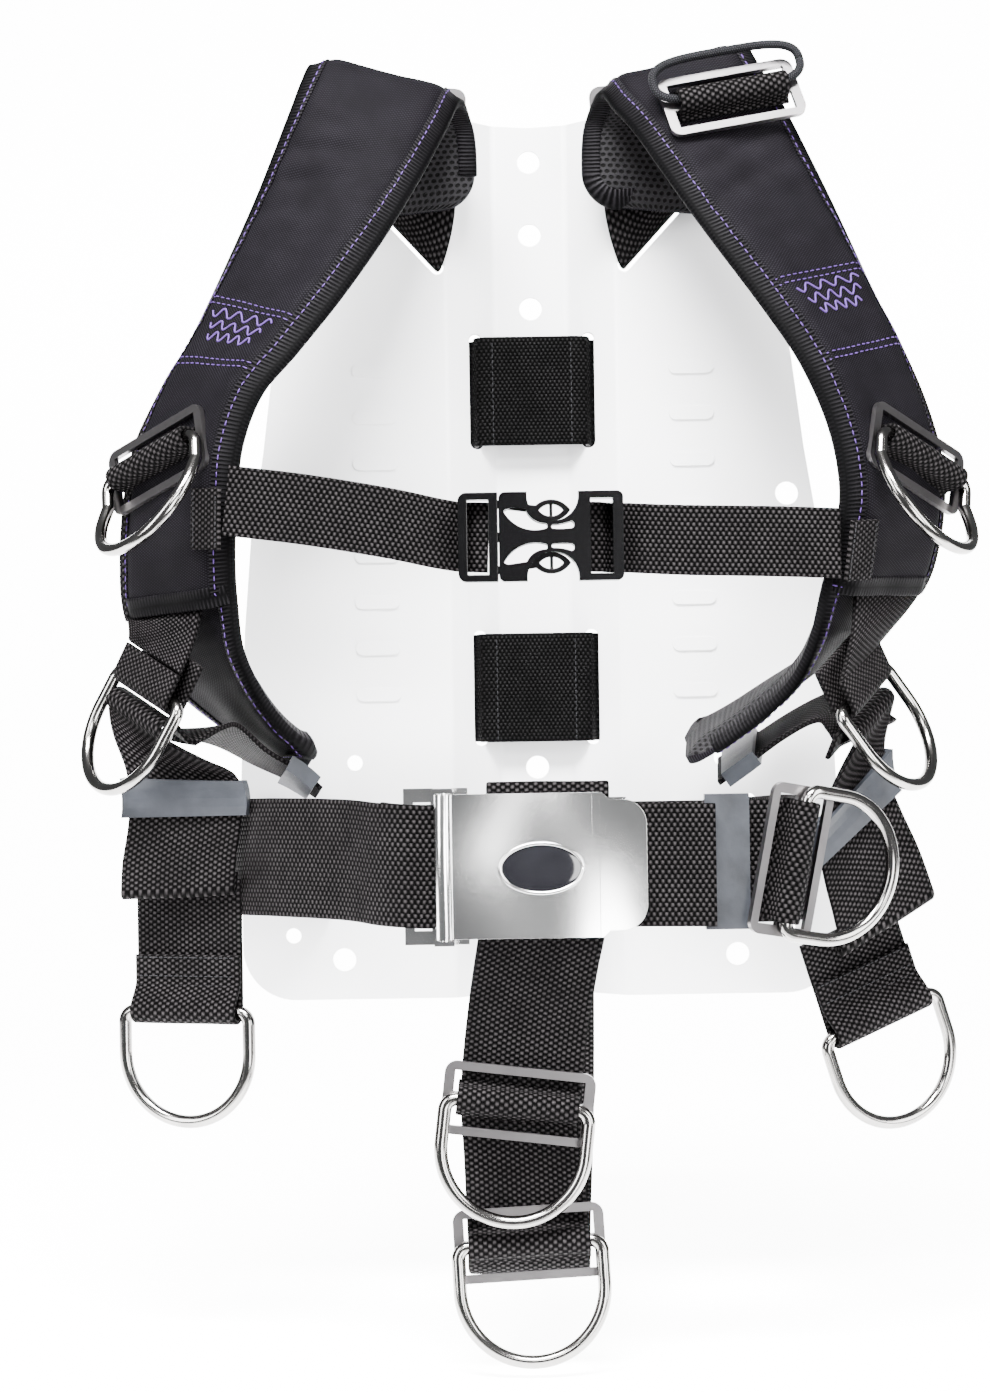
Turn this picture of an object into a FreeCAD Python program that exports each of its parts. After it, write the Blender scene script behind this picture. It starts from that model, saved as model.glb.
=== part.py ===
import FreeCAD, Part
import Sketcher
import math
import os

# A technical diver's back-mounted harness: a bent steel backplate that carries the tank, two padded
# shoulder straps, a waist belt with a cam buckle, a chest strap and a crotch strap.
# +Z is up, -Y is the diver's chest side and +X is the diver's left. The origin is midway between the
# two tank bolt holes, on the face of the plate that the tank rests on. Right and left are the diver's.

os.makedirs("parts", exist_ok=True)
doc = FreeCAD.newDocument("harness")

DIMENSIONS = [
    ("bolt_spacing", 279.4), ("bolt_hole_radius", 5.25), ("side_hole_radius", 3.5),
    ("plate_thick", 3.0), ("crown_half", 18.0), ("channel_deep", 22.0), ("bend_radius", 4.0),
    ("slot_long", 53.0), ("slot_half_wide", 3.0), ("waist_slot_out", 95.6), ("waist_slot_height", -179.0),
    ("band_slot_out", 25.7), ("upper_band_height", 33.3), ("lower_band_height", -102.8),
    ("rib_raised", 0.9), ("rib_half_wide", 3.0), ("rib_long", 20.0), ("rib_pitch", 21.0),
    ("webbing_wide", 50.0), ("webbing_thick", 2.2), ("layer_gap", 0.4),
    ("pad_wide", 67.0), ("pad_thick", 9.0), ("sleeve_thick", 1.6), ("webbing_shift", 8.0),
    ("slider_long", 62.0), ("slider_wide", 30.0), ("slider_thick", 2.4), ("slider_bar", 5.0),
    ("slider_rail", 3.6), ("slider_end", 4.3), ("slider_round", 5.0),
    ("ring_wire", 5.5), ("ring_half", 29.5), ("ring_leg", 12.0), ("ring_corner", 5.0),
    ("ring_bend", 22.0), ("running_gap", 0.45),
    ("chest_wide", 30.0), ("chest_thick", 1.8),
    ("socket_long", 53.0), ("socket_high", 38.0), ("socket_thick", 12.0), ("socket_wall", 2.6),
    ("socket_bar", 4.4), ("socket_window", 9.6), ("prong_long", 31.0), ("prong_thick", 5.0),
    ("prong_high", 3.4), ("plug_long", 17.0), ("bite_radius", 11.0), ("lens_long", 16.6),
    ("lens_high", 9.2), ("plate_corner", 24.0),
    ("belt_height", -175.0), ("flap_long", 64.0), ("flap_high", 58.4), ("tongue_long", 18.0),
    ("tongue_high", 52.6), ("flap_thick", 1.6), ("frame_thick", 1.8), ("hinge_out", -41.0),
    ("hinge_front", -197.2), ("pin_radius", 1.9), ("badge_long", 33.4), ("badge_high", 20.0),
    ("badge_thick", 1.2), ("tank_radius", 88.0), ("cam_frame_long", 62.0), ("cam_lever_long", 46.0),
    ("cam_lever_thick", 6.0), ("keeper_thick", 2.0), ("loop_cord_radius", 1.9),
]

sheet = doc.addObject("Spreadsheet::Sheet", "Sizes")
for row, (alias, amount) in enumerate(DIMENSIONS, start=1):
    sheet.set("A%d" % row, str(amount))
    sheet.setAlias("A%d" % row, alias)
doc.recompute()

products = []


class Size:
    """A length together with the formula, in the sheet's names, that it comes from."""

    def __init__(self, amount, formula):
        self.amount = amount
        self.formula = formula

    def __add__(self, other):
        return Size(self.amount + plain(other), "(%s + %s)" % (self.formula, wording(other)))

    def __sub__(self, other):
        return Size(self.amount - plain(other), "(%s - %s)" % (self.formula, wording(other)))

    def __mul__(self, other):
        return Size(self.amount * plain(other), "(%s * %s)" % (self.formula, wording(other)))

    def __neg__(self):
        return self * -1


def plain(entry):
    return entry.amount if isinstance(entry, Size) else float(entry)


def wording(entry):
    return entry.formula if isinstance(entry, Size) else "(%.4f)" % entry


def size(alias):
    return Size(float(sheet.get(alias)), "Sizes." + alias)


def value(alias):
    return float(sheet.get(alias))


# ---------------------------------------------------------------- sketches and features

def start_body(label):
    body = doc.addObject("PartDesign::Body", label)
    body.Label = label
    products.append(body)
    return body


def sketch_on(body, plane, name, offset=0.0):
    sketch = body.newObject("Sketcher::SketchObject", name)
    base = [feature for feature in body.Origin.OriginFeatures if feature.Role == plane][0]
    sketch.AttachmentSupport = [(base, "")]
    sketch.MapMode = "FlatFace"
    sketch.AttachmentOffset = FreeCAD.Placement(FreeCAD.Vector(0, 0, plain(offset)), FreeCAD.Rotation())
    if isinstance(offset, Size):
        sketch.setExpression("AttachmentOffset.Base.z", offset.formula)
    return sketch


def hold(sketch, kind, geometry, point, entry):
    """Fix one coordinate of a sketch point, counted from the origin and bound to the sheet."""
    index = sketch.addConstraint(Sketcher.Constraint(kind, -1, 1, geometry, point, plain(entry)))
    if isinstance(entry, Size):
        sketch.setExpression("Constraints[%d]" % index, entry.formula)


def polygon(sketch, corners):
    first = sketch.GeometryCount
    points = [FreeCAD.Vector(plain(across), plain(up), 0) for across, up in corners]
    for number, start in enumerate(points):
        sketch.addGeometry(Part.LineSegment(start, points[(number + 1) % len(points)]), False)
    for number in range(len(points)):
        following = first + (number + 1) % len(points)
        sketch.addConstraint(Sketcher.Constraint("Coincident", first + number, 2, following, 1))
    for number, (across, up) in enumerate(corners):
        hold(sketch, "DistanceX", first + number, 1, across)
        hold(sketch, "DistanceY", first + number, 1, up)


def rectangle(sketch, left, bottom, right, top):
    polygon(sketch, [(left, bottom), (right, bottom), (right, top), (left, top)])


def circle(sketch, across, up, radius):
    centre = FreeCAD.Vector(plain(across), plain(up), 0)
    ring = sketch.addGeometry(Part.Circle(centre, FreeCAD.Vector(0, 0, 1), plain(radius)), False)
    hold(sketch, "DistanceX", ring, 3, across)
    hold(sketch, "DistanceY", ring, 3, up)
    index = sketch.addConstraint(Sketcher.Constraint("Radius", ring, plain(radius)))
    if isinstance(radius, Size):
        sketch.setExpression("Constraints[%d]" % index, radius.formula)


def slot(sketch, centre, lean, length, half_wide):
    """Round-ended slot about a centre, leaning by an angle from the sketch's first axis."""
    reach = plain(length) / 2 - plain(half_wide)
    along = FreeCAD.Vector(math.cos(math.radians(lean)), math.sin(math.radians(lean)), 0)
    across = FreeCAD.Vector(-along.y, along.x, 0) * plain(half_wide)
    middle = FreeCAD.Vector(plain(centre[0]), plain(centre[1]), 0)
    far = middle + along * reach
    near = middle - along * reach
    sides = [
        Part.LineSegment(near - across, far - across),
        Part.Arc(far - across, far + along * plain(half_wide), far + across),
        Part.LineSegment(far + across, near + across),
        Part.Arc(near + across, near - along * plain(half_wide), near - across),
    ]
    first = sketch.GeometryCount
    for side in sides:
        sketch.addGeometry(side, False)
    for number in range(len(sides)):
        following = first + (number + 1) % len(sides)
        sketch.addConstraint(Sketcher.Constraint("Coincident", first + number, 2, following, 1))
    for number in range(len(sides)):
        sketch.addConstraint(Sketcher.Constraint("Block", first + number))


def arc_loop(sketch, points):
    """Closed curve of arcs: every other point is the end of an arc, the others are passed on the way."""
    count = len(points)
    for first in range(0, count, 2):
        start, passed, end = [FreeCAD.Vector(*points[(first + step) % count], 0) for step in range(3)]
        number = sketch.addGeometry(Part.Arc(start, passed, end), False)
        sketch.addConstraint(Sketcher.Constraint("Block", number))


def pad(body, name, sketch, length, mirrored=False, midplane=False):
    feature = body.newObject("PartDesign::Pad", name)
    feature.Profile = sketch
    feature.Length = plain(length)
    if isinstance(length, Size):
        feature.setExpression("Length", length.formula)
    feature.Reversed = mirrored
    feature.Midplane = midplane
    sketch.Visibility = False
    return feature


def pocket(body, name, sketch, length=None, mirrored=False):
    """Cut a sketch out of the body, right through both ways when no depth is given."""
    before = body.Shape.Volume
    feature = body.newObject("PartDesign::Pocket", name)
    feature.Profile = sketch
    if length is None:
        feature.Type = "ThroughAll"
        feature.Midplane = True
    else:
        feature.Length = plain(length)
        feature.setExpression("Length", length.formula)
        feature.Reversed = mirrored
    doc.recompute()
    if body.Shape.Volume > before - 0.1:
        raise RuntimeError("%s cut nothing" % name)
    return feature


def soften(body, name, base, edges, radius):
    """Round the chosen edges of a feature."""
    feature = body.newObject("PartDesign::Fillet", name)
    feature.Base = (base, edges)
    feature.Radius = plain(radius)
    if isinstance(radius, Size):
        feature.setExpression("Radius", radius.formula)
    doc.recompute()
    return feature


def edges_where(shape, test):
    """Names of the straight edges whose two ends pass the test."""
    names = []
    for number, edge in enumerate(shape.Edges, start=1):
        ends = [vertex.Point for vertex in edge.Vertexes]
        if len(ends) == 2 and test(ends[0], ends[1]):
            names.append("Edge%d" % number)
    return names


def is_upright(one, two):
    return abs(one.x - two.x) < 0.01 and abs(one.y - two.y) < 0.01 and abs(one.z - two.z) > 0.1


# ---------------------------------------------------------------- the backplate

PLATE_EDGE = [
    (-74, 157), (-25, 157), (0, 155.5), (25, 157), (74, 157), (90, 150), (104, 120), (112, 85),
    (118, 45), (123, 5), (129, -32), (132.5, -75), (135.5, -150), (135.5, -243.5),
    (-135.5, -243.5), (-135.5, -150), (-132.5, -75),
    (-129, -32), (-123, 5), (-118, 45), (-112, 85), (-104, 120), (-90, 150),
]
PLATE_FOOT = -243.5
PLATE_FOOT_HALF = 135.5
PLATE_REACH = 160
SHOULDER_SLOT = (58.5, 106.0)
SHOULDER_SLOT_LEAN = 47.4
SMALL_HOLES = [(83.4, -136.0), (112.5, -214.3)]
LARGE_HOLES = [(0.0, 106.0), (0.0, 72.0), (-89.5, -225.5), (89.5, -225.5), (95.5, 94.7), (-95.5, 94.7),
               (115.0, -16.2), (-115.0, -16.2)]
CROTCH_SLOT_HEIGHT = -190.0
RIB_COLUMN = 72.0
RIB_TOP = 42.0
RIB_COUNT = 8


def make_backplate():
    body = start_body("backplate")
    thick = size("plate_thick")
    crown = size("crown_half")
    deep = size("channel_deep")
    foot = crown + deep
    inset = thick * math.tan(math.radians(22.5))
    reach = Size(PLATE_REACH, "(%.1f)" % PLATE_REACH)

    profile = sketch_on(body, "XY_Plane", "hat_section", -260.0)
    right_half = [(crown, Size(0, "(0)")), (foot, -deep), (reach, -deep), (reach, -(deep + thick)),
                  (foot - inset, -(deep + thick)), (crown - inset, -thick)]
    left_half = [(-across, up) for across, up in reversed(right_half)]
    polygon(profile, right_half + left_half)
    sheet_metal = pad(body, "sheet_metal", profile, Size(430, "(430)"))
    doc.recompute()

    inner = plain(crown) + 0.01
    outer = plain(foot) + 0.01
    bends = edges_where(sheet_metal.Shape, lambda one, two: is_upright(one, two)
                        and inner - 3 < abs(one.x) < outer)
    soften(body, "bends", sheet_metal, bends, size("bend_radius"))

    outline = sketch_on(body, "XZ_Plane", "outline")
    beyond = 300
    rectangle(outline, -beyond, -beyond, beyond, beyond)
    polygon(outline, PLATE_EDGE)
    trimmed = pocket(body, "trimmed", outline)
    foot_corners = edges_where(trimmed.Shape, lambda one, two: abs(one.x - two.x) < 0.01
                               and abs(one.z - two.z) < 0.01 and one.z < PLATE_FOOT + 0.1
                               and abs(one.x) > PLATE_FOOT_HALF - 0.1)
    soften(body, "round_feet", trimmed, foot_corners, size("plate_corner"))

    holes = sketch_on(body, "XZ_Plane", "holes")
    circle(holes, 0, size("bolt_spacing") * 0.5, size("bolt_hole_radius"))
    circle(holes, 0, size("bolt_spacing") * -0.5, size("bolt_hole_radius"))
    for across, up in LARGE_HOLES:
        circle(holes, across, up, size("bolt_hole_radius"))
    for across, up in SMALL_HOLES:
        circle(holes, across, up, size("side_hole_radius"))
        circle(holes, -across, up, size("side_hole_radius"))
    pocket(body, "drilled", holes)

    slots = sketch_on(body, "XZ_Plane", "slots")
    length = size("slot_long")
    half_wide = size("slot_half_wide")
    for side in (-1, 1):
        slot(slots, (size("waist_slot_out") * side, size("waist_slot_height")), 90, length, half_wide)
        slot(slots, (SHOULDER_SLOT[0] * side, SHOULDER_SLOT[1]), SHOULDER_SLOT_LEAN * side, length, half_wide)
        for height in ("upper_band_height", "lower_band_height"):
            slot(slots, (size("band_slot_out") * side, size(height)), 90, length, half_wide)
    slot(slots, (0, CROTCH_SLOT_HEIGHT), 0, length + 2, half_wide)
    pocket(body, "slotted", slots)

    ribs = sketch_on(body, "XZ_Plane", "ribs", deep + thick)
    for side in (-1, 1):
        for number in range(RIB_COUNT):
            height = RIB_TOP - number * value("rib_pitch")
            slot(ribs, (RIB_COLUMN * side, height), 0, size("rib_long"), size("rib_half_wide"))
    pad(body, "pressed_ribs", ribs, size("rib_raised"))
    doc.recompute()
    return body


# ---------------------------------------------------------------- ribbons: webbing, pads and sleeves

FLOW_STEPS = 3


def mix(before, start, finish, after, share):
    """Point at a share of the way from start to finish on a curve that also heeds its neighbours."""
    entries = []
    for p, q, r, t in zip(before, start, finish, after):
        linear = (r - p) * share
        square = (2 * p - 5 * q + 4 * r - t) * share ** 2
        cube = (3 * q - p - 3 * r + t) * share ** 3
        entries.append(0.5 * (2 * q + linear + square + cube))
    return tuple(entries)


def flow(stations):
    """Smooth frames along stations, each x, y, z, the width's lean and yaw in degrees, and a shift."""
    whole = [tuple(station) + (0,) * (6 - len(station)) for station in stations]
    rows = [whole[0]] + whole + [whole[-1]]
    run = []
    for number in range(1, len(rows) - 2):
        for step in range(FLOW_STEPS):
            run.append(mix(*rows[number - 1:number + 3], step / FLOW_STEPS))
    run.append(whole[-1])
    return frames_of(run)


def across_at(station):
    lean = math.radians(station[3])
    yaw = math.radians(station[4])
    return FreeCAD.Vector(math.cos(lean) * math.cos(yaw), math.sin(yaw), math.sin(lean) * math.cos(yaw))


def frames_of(run):
    """Centre, width direction, outward normal and sideways shift at every station of a run."""
    centres = [FreeCAD.Vector(*station[:3]) for station in run]
    frames = []
    for number, station in enumerate(run):
        ahead = centres[min(number + 1, len(run) - 1)]
        behind = centres[max(number - 1, 0)]
        across = across_at(station)
        normal = (ahead - behind).cross(across).normalize()
        frames.append((centres[number], across, normal, station[5]))
    return frames


def ribbon(frames, wide, low, high):
    """Strip between two heights above the surface that the frames lie in."""
    sections = []
    for centre, across, normal, shift in frames:
        left = centre + across * (shift - wide / 2)
        right = centre + across * (shift + wide / 2)
        corners = [left + normal * low, right + normal * low, right + normal * high, left + normal * high]
        sections.append(Part.makePolygon(corners + [corners[0]]))
    return Part.makeLoft(sections, True, True)


def add_shape(label, shape):
    feature = doc.addObject("Part::Feature", label)
    feature.Label = label
    feature.Shape = shape
    products.append(feature)
    return feature


def webbing_span():
    low = value("layer_gap")
    return low, low + value("webbing_thick")


def mirrored(stations):
    return [(-x, y, z, -lean, -yaw) for x, y, z, lean, yaw in stations]


# Stations of the two shoulder pads, from the tab on the diver's back over the shoulder and the chest
# and under the arm. The harness stands as if worn, so its two sides differ a little.
BACK_OF_PAD = [(-58, -34, 111, 5, 0), (-58, -33, 136, 3, 0), (-60, -37, 157, -5, 4)]
RIGHT_PAD = BACK_OF_PAD + [
    (-63, -54, 169, -13, 5), (-69, -67, 156, -20, -5), (-77, -77, 138, -24, -15),
    (-92, -88, 107, -22, -27), (-109, -96, 77, -22, -37), (-126, -100, 50, -17, -45),
    (-141, -102, 28, -8, -48), (-151, -103, 4, -5, -46), (-155, -103, -20, -4, -43),
    (-157, -100, -45, 0, -42), (-156, -95, -68, 6, -43), (-148, -88, -92, 15, -55),
    (-132, -80, -113, 28, -68), (-116, -72, -127, 38, -77), (-102, -66, -136, 45, -80),
]
LEFT_PAD = mirrored(BACK_OF_PAD) + [
    (64, -55, 172, 14, -6), (70, -66, 162, 13, 2), (79, -74, 148, 11, 10),
    (93, -84, 122, 10, 20), (108, -92, 95, 13, 31), (124, -97, 67, 16, 41),
    (138, -101, 41, 17, 46), (150, -102, 10, 12, 47), (155, -103, -18, 12, 45),
    (152, -101, -44, 5, 44), (146, -97, -64, 2, 48), (134, -90, -84, 10, 62),
    (119, -82, -100, 30, 72), (101, -77, -113, 50, 76), (83, -76, -125, 60, 78), (66, -76, -134, 70, 78),
]
SLEEVE_START = 3
SLEEVE_END = 13
STRAP_SHIFT_START = 6

# The webbing comes up behind the plate, through the slanted slot and up inside the pad.
SHOULDER_TAIL = [
    (-60, -15, 168, -6, 0), (-60, -15, 140, -18, 0), (-60, -15.5, 118, -40, 0),
    (-59.6, -23.5, 104.6, -47.4, 0), (-58.4, -31, 112, -30, 0), (-58, -32.6, 122, -10, 0),
]
RIGHT_HIP_DROP = [(-159, -104, -78, -14, -48, -5), (-163.8, -114.4, -88.6, -30.6, -53, 0)]
LEFT_HIP_DROP = [(143, -105, -79, 22, 52, 5), (135.3, -115.6, -94.3, 40.6, 56, 0)]


def shifted(stations, side):
    """Let the webbing slide outward inside the pad, little by little down the chest."""
    moved = []
    for number, station in enumerate(stations):
        share = min(max((number - STRAP_SHIFT_START) / 4, 0), 1)
        moved.append(station + (side * share * value("webbing_shift"),))
    return moved


def strap_frames(name):
    """Frames of the webbing: it keeps to the pad as far as the sleeve's end, then drops to the hip."""
    if name == "right":
        tail, inside, drop = SHOULDER_TAIL, shifted(RIGHT_PAD, -1), RIGHT_HIP_DROP
    else:
        tail, inside, drop = mirrored(SHOULDER_TAIL), shifted(LEFT_PAD, 1), LEFT_HIP_DROP
    covered = (len(tail) + SLEEVE_END - 1) * FLOW_STEPS + 1
    return flow(tail + inside[1:])[:covered] + flow([inside[SLEEVE_END]] + drop)[1:]


def make_shoulder(name, stations):
    low, high = webbing_span()
    frames = flow(stations)
    covered = frames[SLEEVE_START * FLOW_STEPS:SLEEVE_END * FLOW_STEPS + 1]
    sleeve_low = high + value("layer_gap")
    add_shape(name + "_shoulder_pad", ribbon(frames, value("pad_wide"), -value("pad_thick"), 0))
    add_shape(name + "_pad_sleeve",
              ribbon(covered, value("pad_wide"), sleeve_low, sleeve_low + value("sleeve_thick")))


# ---------------------------------------------------------------- sliders and rings

def seat(stations, share, rise, shift=0.0):
    """Placement on a ribbon: x along its width, y back up the strap and z outward."""
    frames = flow(stations)
    centre, across, normal, own_shift = frames[int(round(share * (len(frames) - 1)))]
    upward = normal.cross(across).normalize()
    turn = FreeCAD.Rotation(across, upward, normal, "ZXY")
    return FreeCAD.Placement(centre + across * shift + normal * rise, turn)


def place_at(centre, across, outward):
    """Placement with x along a bar and z as near to the outward direction as it can be."""
    across = FreeCAD.Vector(*across).normalize()
    upward = FreeCAD.Vector(*outward).cross(across).normalize()
    turn = FreeCAD.Rotation(across, upward, across.cross(upward), "ZXY")
    return FreeCAD.Placement(FreeCAD.Vector(*centre), turn)


def make_slider(label, place):
    """Flat steel frame with two windows and a centre bar; its back face is the local z = 0."""
    body = start_body(label)
    half_long = size("slider_long") * 0.5
    half_wide = size("slider_wide") * 0.5
    window_out = half_long - size("slider_end")
    window_top = half_wide - size("slider_rail")
    bar = size("slider_bar") * 0.5
    plate = sketch_on(body, "XY_Plane", "plate")
    rectangle(plate, -half_long, -half_wide, half_long, half_wide)
    blank = pad(body, "blank", plate, size("slider_thick"))
    doc.recompute()
    corners = edges_where(blank.Shape, is_upright)
    soften(body, "corners", blank, corners, size("slider_round"))
    windows = sketch_on(body, "XY_Plane", "windows")
    rectangle(windows, -window_out, bar, window_out, window_top)
    rectangle(windows, -window_out, -window_top, window_out, -bar)
    pocket(body, "windows_cut", windows)
    body.Placement = place
    return body


def bar_height():
    """Height of a ring's bar above the back face of the slider that it lies on."""
    return value("slider_thick") + value("running_gap") + value("ring_wire") / 2


def hairpin(place, wide, thick, inner, near_leg, far_leg):
    """Strip folded round a bar along x: the bend is on the +z side and its two legs run to -z."""
    outer = inner + thick
    start = FreeCAD.Vector(-wide / 2, 0, 0)
    along = FreeCAD.Vector(1, 0, 0)
    arch = Part.makeCylinder(outer, wide, start, along).cut(Part.makeCylinder(inner, wide, start, along))
    solid = arch.common(Part.makeBox(wide, 4 * outer, 2 * outer, FreeCAD.Vector(-wide / 2, -2 * outer, 0)))
    for low_y, leg in ((-outer, near_leg), (inner, far_leg)):
        corner = FreeCAD.Vector(-wide / 2, low_y, -leg)
        solid = solid.fuse(Part.makeBox(wide, thick, leg, corner))
    solid = solid.removeSplitter()
    solid.Placement = place
    return solid


def bar_place(place):
    """Placement at the middle of a ring's bar that lies on a slider's centre bar."""
    return place.multiply(FreeCAD.Placement(FreeCAD.Vector(0, 0, bar_height()), FreeCAD.Rotation()))


def hump(place):
    """Webbing folded up over the slider's centre bar and the ring's bar, as a second solid."""
    inner = value("ring_wire") / 2 + value("running_gap")
    leg = bar_height() + value("layer_gap") / 2
    return hairpin(bar_place(place), value("webbing_wide"), value("webbing_thick"), inner, leg, leg)


def ring_path(bend):
    """Centre line of a D ring: its bar along x, two legs down, and a half circle that may be bent out."""
    half = value("ring_half")
    leg = value("ring_leg")
    corner = value("ring_corner")
    lean = math.radians(bend)

    def bent(across, down):
        return FreeCAD.Vector(across, -leg - down * math.cos(lean), down * math.sin(lean))

    def corner_arc(side):
        slant = corner * (1 - math.sqrt(0.5))
        return Part.Arc(FreeCAD.Vector(side * (half - corner), 0, 0),
                        FreeCAD.Vector(side * (half - slant), -slant, 0),
                        FreeCAD.Vector(side * half, -corner, 0))

    pieces = [
        Part.LineSegment(FreeCAD.Vector(corner - half, 0, 0), FreeCAD.Vector(half - corner, 0, 0)),
        corner_arc(1),
        Part.LineSegment(FreeCAD.Vector(half, -corner, 0), bent(half, 0)),
        Part.LineSegment(bent(half, 0), bent(half, 6)),
        Part.Arc(bent(half, 6), bent(0, 6 + half), bent(-half, 6)),
        Part.LineSegment(bent(-half, 6), bent(-half, 0)),
        Part.LineSegment(bent(-half, 0), FreeCAD.Vector(-half, -corner, 0)),
        corner_arc(-1),
    ]
    return [piece.toShape() for piece in pieces]


def make_ring(label, place, bend=0.0):
    """Round steel wire welded into a D."""
    radius = value("ring_wire") / 2
    edges = ring_path(bend)
    profile = Part.Wire(Part.makeCircle(radius, edges[0].valueAt(0), FreeCAD.Vector(1, 0, 0)))
    ring = add_shape(label, Part.Wire(edges).makePipeShell([profile], True, False, 1))
    ring.Placement = place
    return ring


# ---------------------------------------------------------------- small helpers for boxes and keepers

KEEPER_PLAY = 0.4


def box(label, sides, place):
    """Block centred on its placement, its three sides bound to the sheet."""
    block = doc.addObject("Part::Box", label)
    for name, side in zip(("Length", "Width", "Height"), sides):
        setattr(block, name, plain(side))
        if isinstance(side, Size):
            block.setExpression(name, side.formula)
    offset = FreeCAD.Vector(-plain(sides[0]) / 2, -plain(sides[1]) / 2, -plain(sides[2]) / 2)
    block.Placement = place.multiply(FreeCAD.Placement(offset, FreeCAD.Rotation()))
    return block


def cut(label, base, tool):
    result = doc.addObject("Part::Cut", label)
    result.Label = label
    result.Base = base
    result.Tool = tool
    products.append(result)
    return result


def keeper(label, frames, low, high):
    """Rubber band cut from an inner tube and pulled over webbing that lies between two heights."""
    wall = value("keeper_thick")
    wide = value("webbing_wide") + 2 * KEEPER_PLAY
    outer = ribbon(frames, wide + 2 * wall, low - KEEPER_PLAY - wall, high + KEEPER_PLAY + wall)
    inner = ribbon(frames, wide, low - KEEPER_PLAY, high + KEEPER_PLAY)
    return add_shape(label, outer.cut(inner))


def rod(label, radius, length, place):
    """Cylinder along the placement's z, centred on it."""
    bar = doc.addObject("Part::Cylinder", label)
    bar.Radius = plain(radius)
    if isinstance(radius, Size):
        bar.setExpression("Radius", radius.formula)
    bar.Height = plain(length)
    bar.Placement = place.multiply(FreeCAD.Placement(FreeCAD.Vector(0, 0, -plain(length) / 2),
                                                     FreeCAD.Rotation()))
    return bar


def fuse(label, pieces):
    result = doc.addObject("Part::MultiFuse", label)
    result.Shapes = pieces
    return result


def at(x, y, z):
    return FreeCAD.Placement(FreeCAD.Vector(plain(x), plain(y), plain(z)), FreeCAD.Rotation())


# ---------------------------------------------------------------- tank bands

BAND_OPENING = 21
BAND_STEPS = 24
CAM_PIN_BACK = -22.0
CAM_FRAME_THICK = 3.0
CAM_EAR_THICK = 2.5
CAM_PLAY = 0.4


def tank_centre():
    return value("tank_radius") + 1.5


def band_run(height):
    """Path of a tank band in plan: round the tank, through both slots and across the crown."""
    radius = value("tank_radius")
    out = value("band_slot_out")
    front = -value("channel_deep") / 2 - 1.2
    meeting = 270 - math.degrees(math.asin((out + 1.5) / radius))
    half = []
    for step in range(BAND_STEPS + 1):
        angle = math.radians(BAND_OPENING + (meeting - BAND_OPENING) * step / BAND_STEPS)
        half.append((radius * math.cos(angle), tank_centre() + radius * math.sin(angle)))
    corner = [(-out, 1.5), (-out, front + 4.5), (-out + 1.3, front + 1.3), (-out + 4.5, front)]
    right_slot = [(-across, along) for across, along in reversed(corner)]
    closing = []
    for step in range(BAND_STEPS + 1):
        angle = math.radians(540 - meeting + (meeting - 180 - BAND_OPENING) * step / BAND_STEPS)
        closing.append((radius * math.cos(angle), tank_centre() + radius * math.sin(angle)))
    plan = half + corner + right_slot + closing
    return frames_of([(across, along, height, 90, 0, 0) for across, along in plan])


def make_tank_band(name):
    """Webbing band with its cam buckle, which closes on the tank's left side."""
    height = value(name + "_band_height")
    half = value("webbing_thick") / 2
    add_shape(name + "_tank_band", ribbon(band_run(height), value("webbing_wide"), -half, half))

    side = value("tank_radius") * math.cos(math.radians(BAND_OPENING))
    frame_wide = size("webbing_wide") + 8
    play = CAM_PLAY
    base = box(name + "_cam_base", (CAM_FRAME_THICK, size("cam_frame_long") - 3, frame_wide),
               at(side, tank_centre(), height))
    lever_out = side + CAM_FRAME_THICK / 2 + value("cam_lever_thick") / 2 + play
    pin_along = tank_centre() + CAM_PIN_BACK
    ear_out = (CAM_FRAME_THICK + value("cam_lever_thick")) / 2 + play
    ears = [
        box(name + "_cam_ear_%d" % number, (value("cam_lever_thick") + CAM_FRAME_THICK + 2, 10, CAM_EAR_THICK),
            at(side + ear_out, pin_along, height + direction * (plain(frame_wide) / 2 - CAM_EAR_THICK / 2)))
        for number, direction in enumerate((-1, 1))
    ]
    pin = rod(name + "_band_pin", size("pin_radius"), frame_wide, at(lever_out, pin_along, height))
    pin.Label = name + "_band_pin"
    products.append(pin)
    bore = rod(name + "_cam_bore", size("pin_radius") + 0.05, frame_wide + 10,
               at(lever_out, pin_along, height))
    cut(name + "_band_buckle", fuse(name + "_cam_frame", [base] + ears), bore)

    lever_wide = frame_wide - 2 * CAM_EAR_THICK - 2 * play
    blade = box(name + "_cam_blade", (size("cam_lever_thick") - 3, size("cam_lever_long"), lever_wide),
                at(lever_out, pin_along + value("cam_lever_long") / 2, height))
    barrel = rod(name + "_cam_barrel", size("cam_lever_thick") * 0.5, lever_wide,
                 at(lever_out, pin_along, height))
    eye = rod(name + "_cam_eye", size("pin_radius") + 0.05, frame_wide + 10, at(lever_out, pin_along, height))
    cut(name + "_band_lever", fuse(name + "_cam_lever", [blade, barrel]), eye)


# ---------------------------------------------------------------- shoulder, hip and adjuster straps

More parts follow.
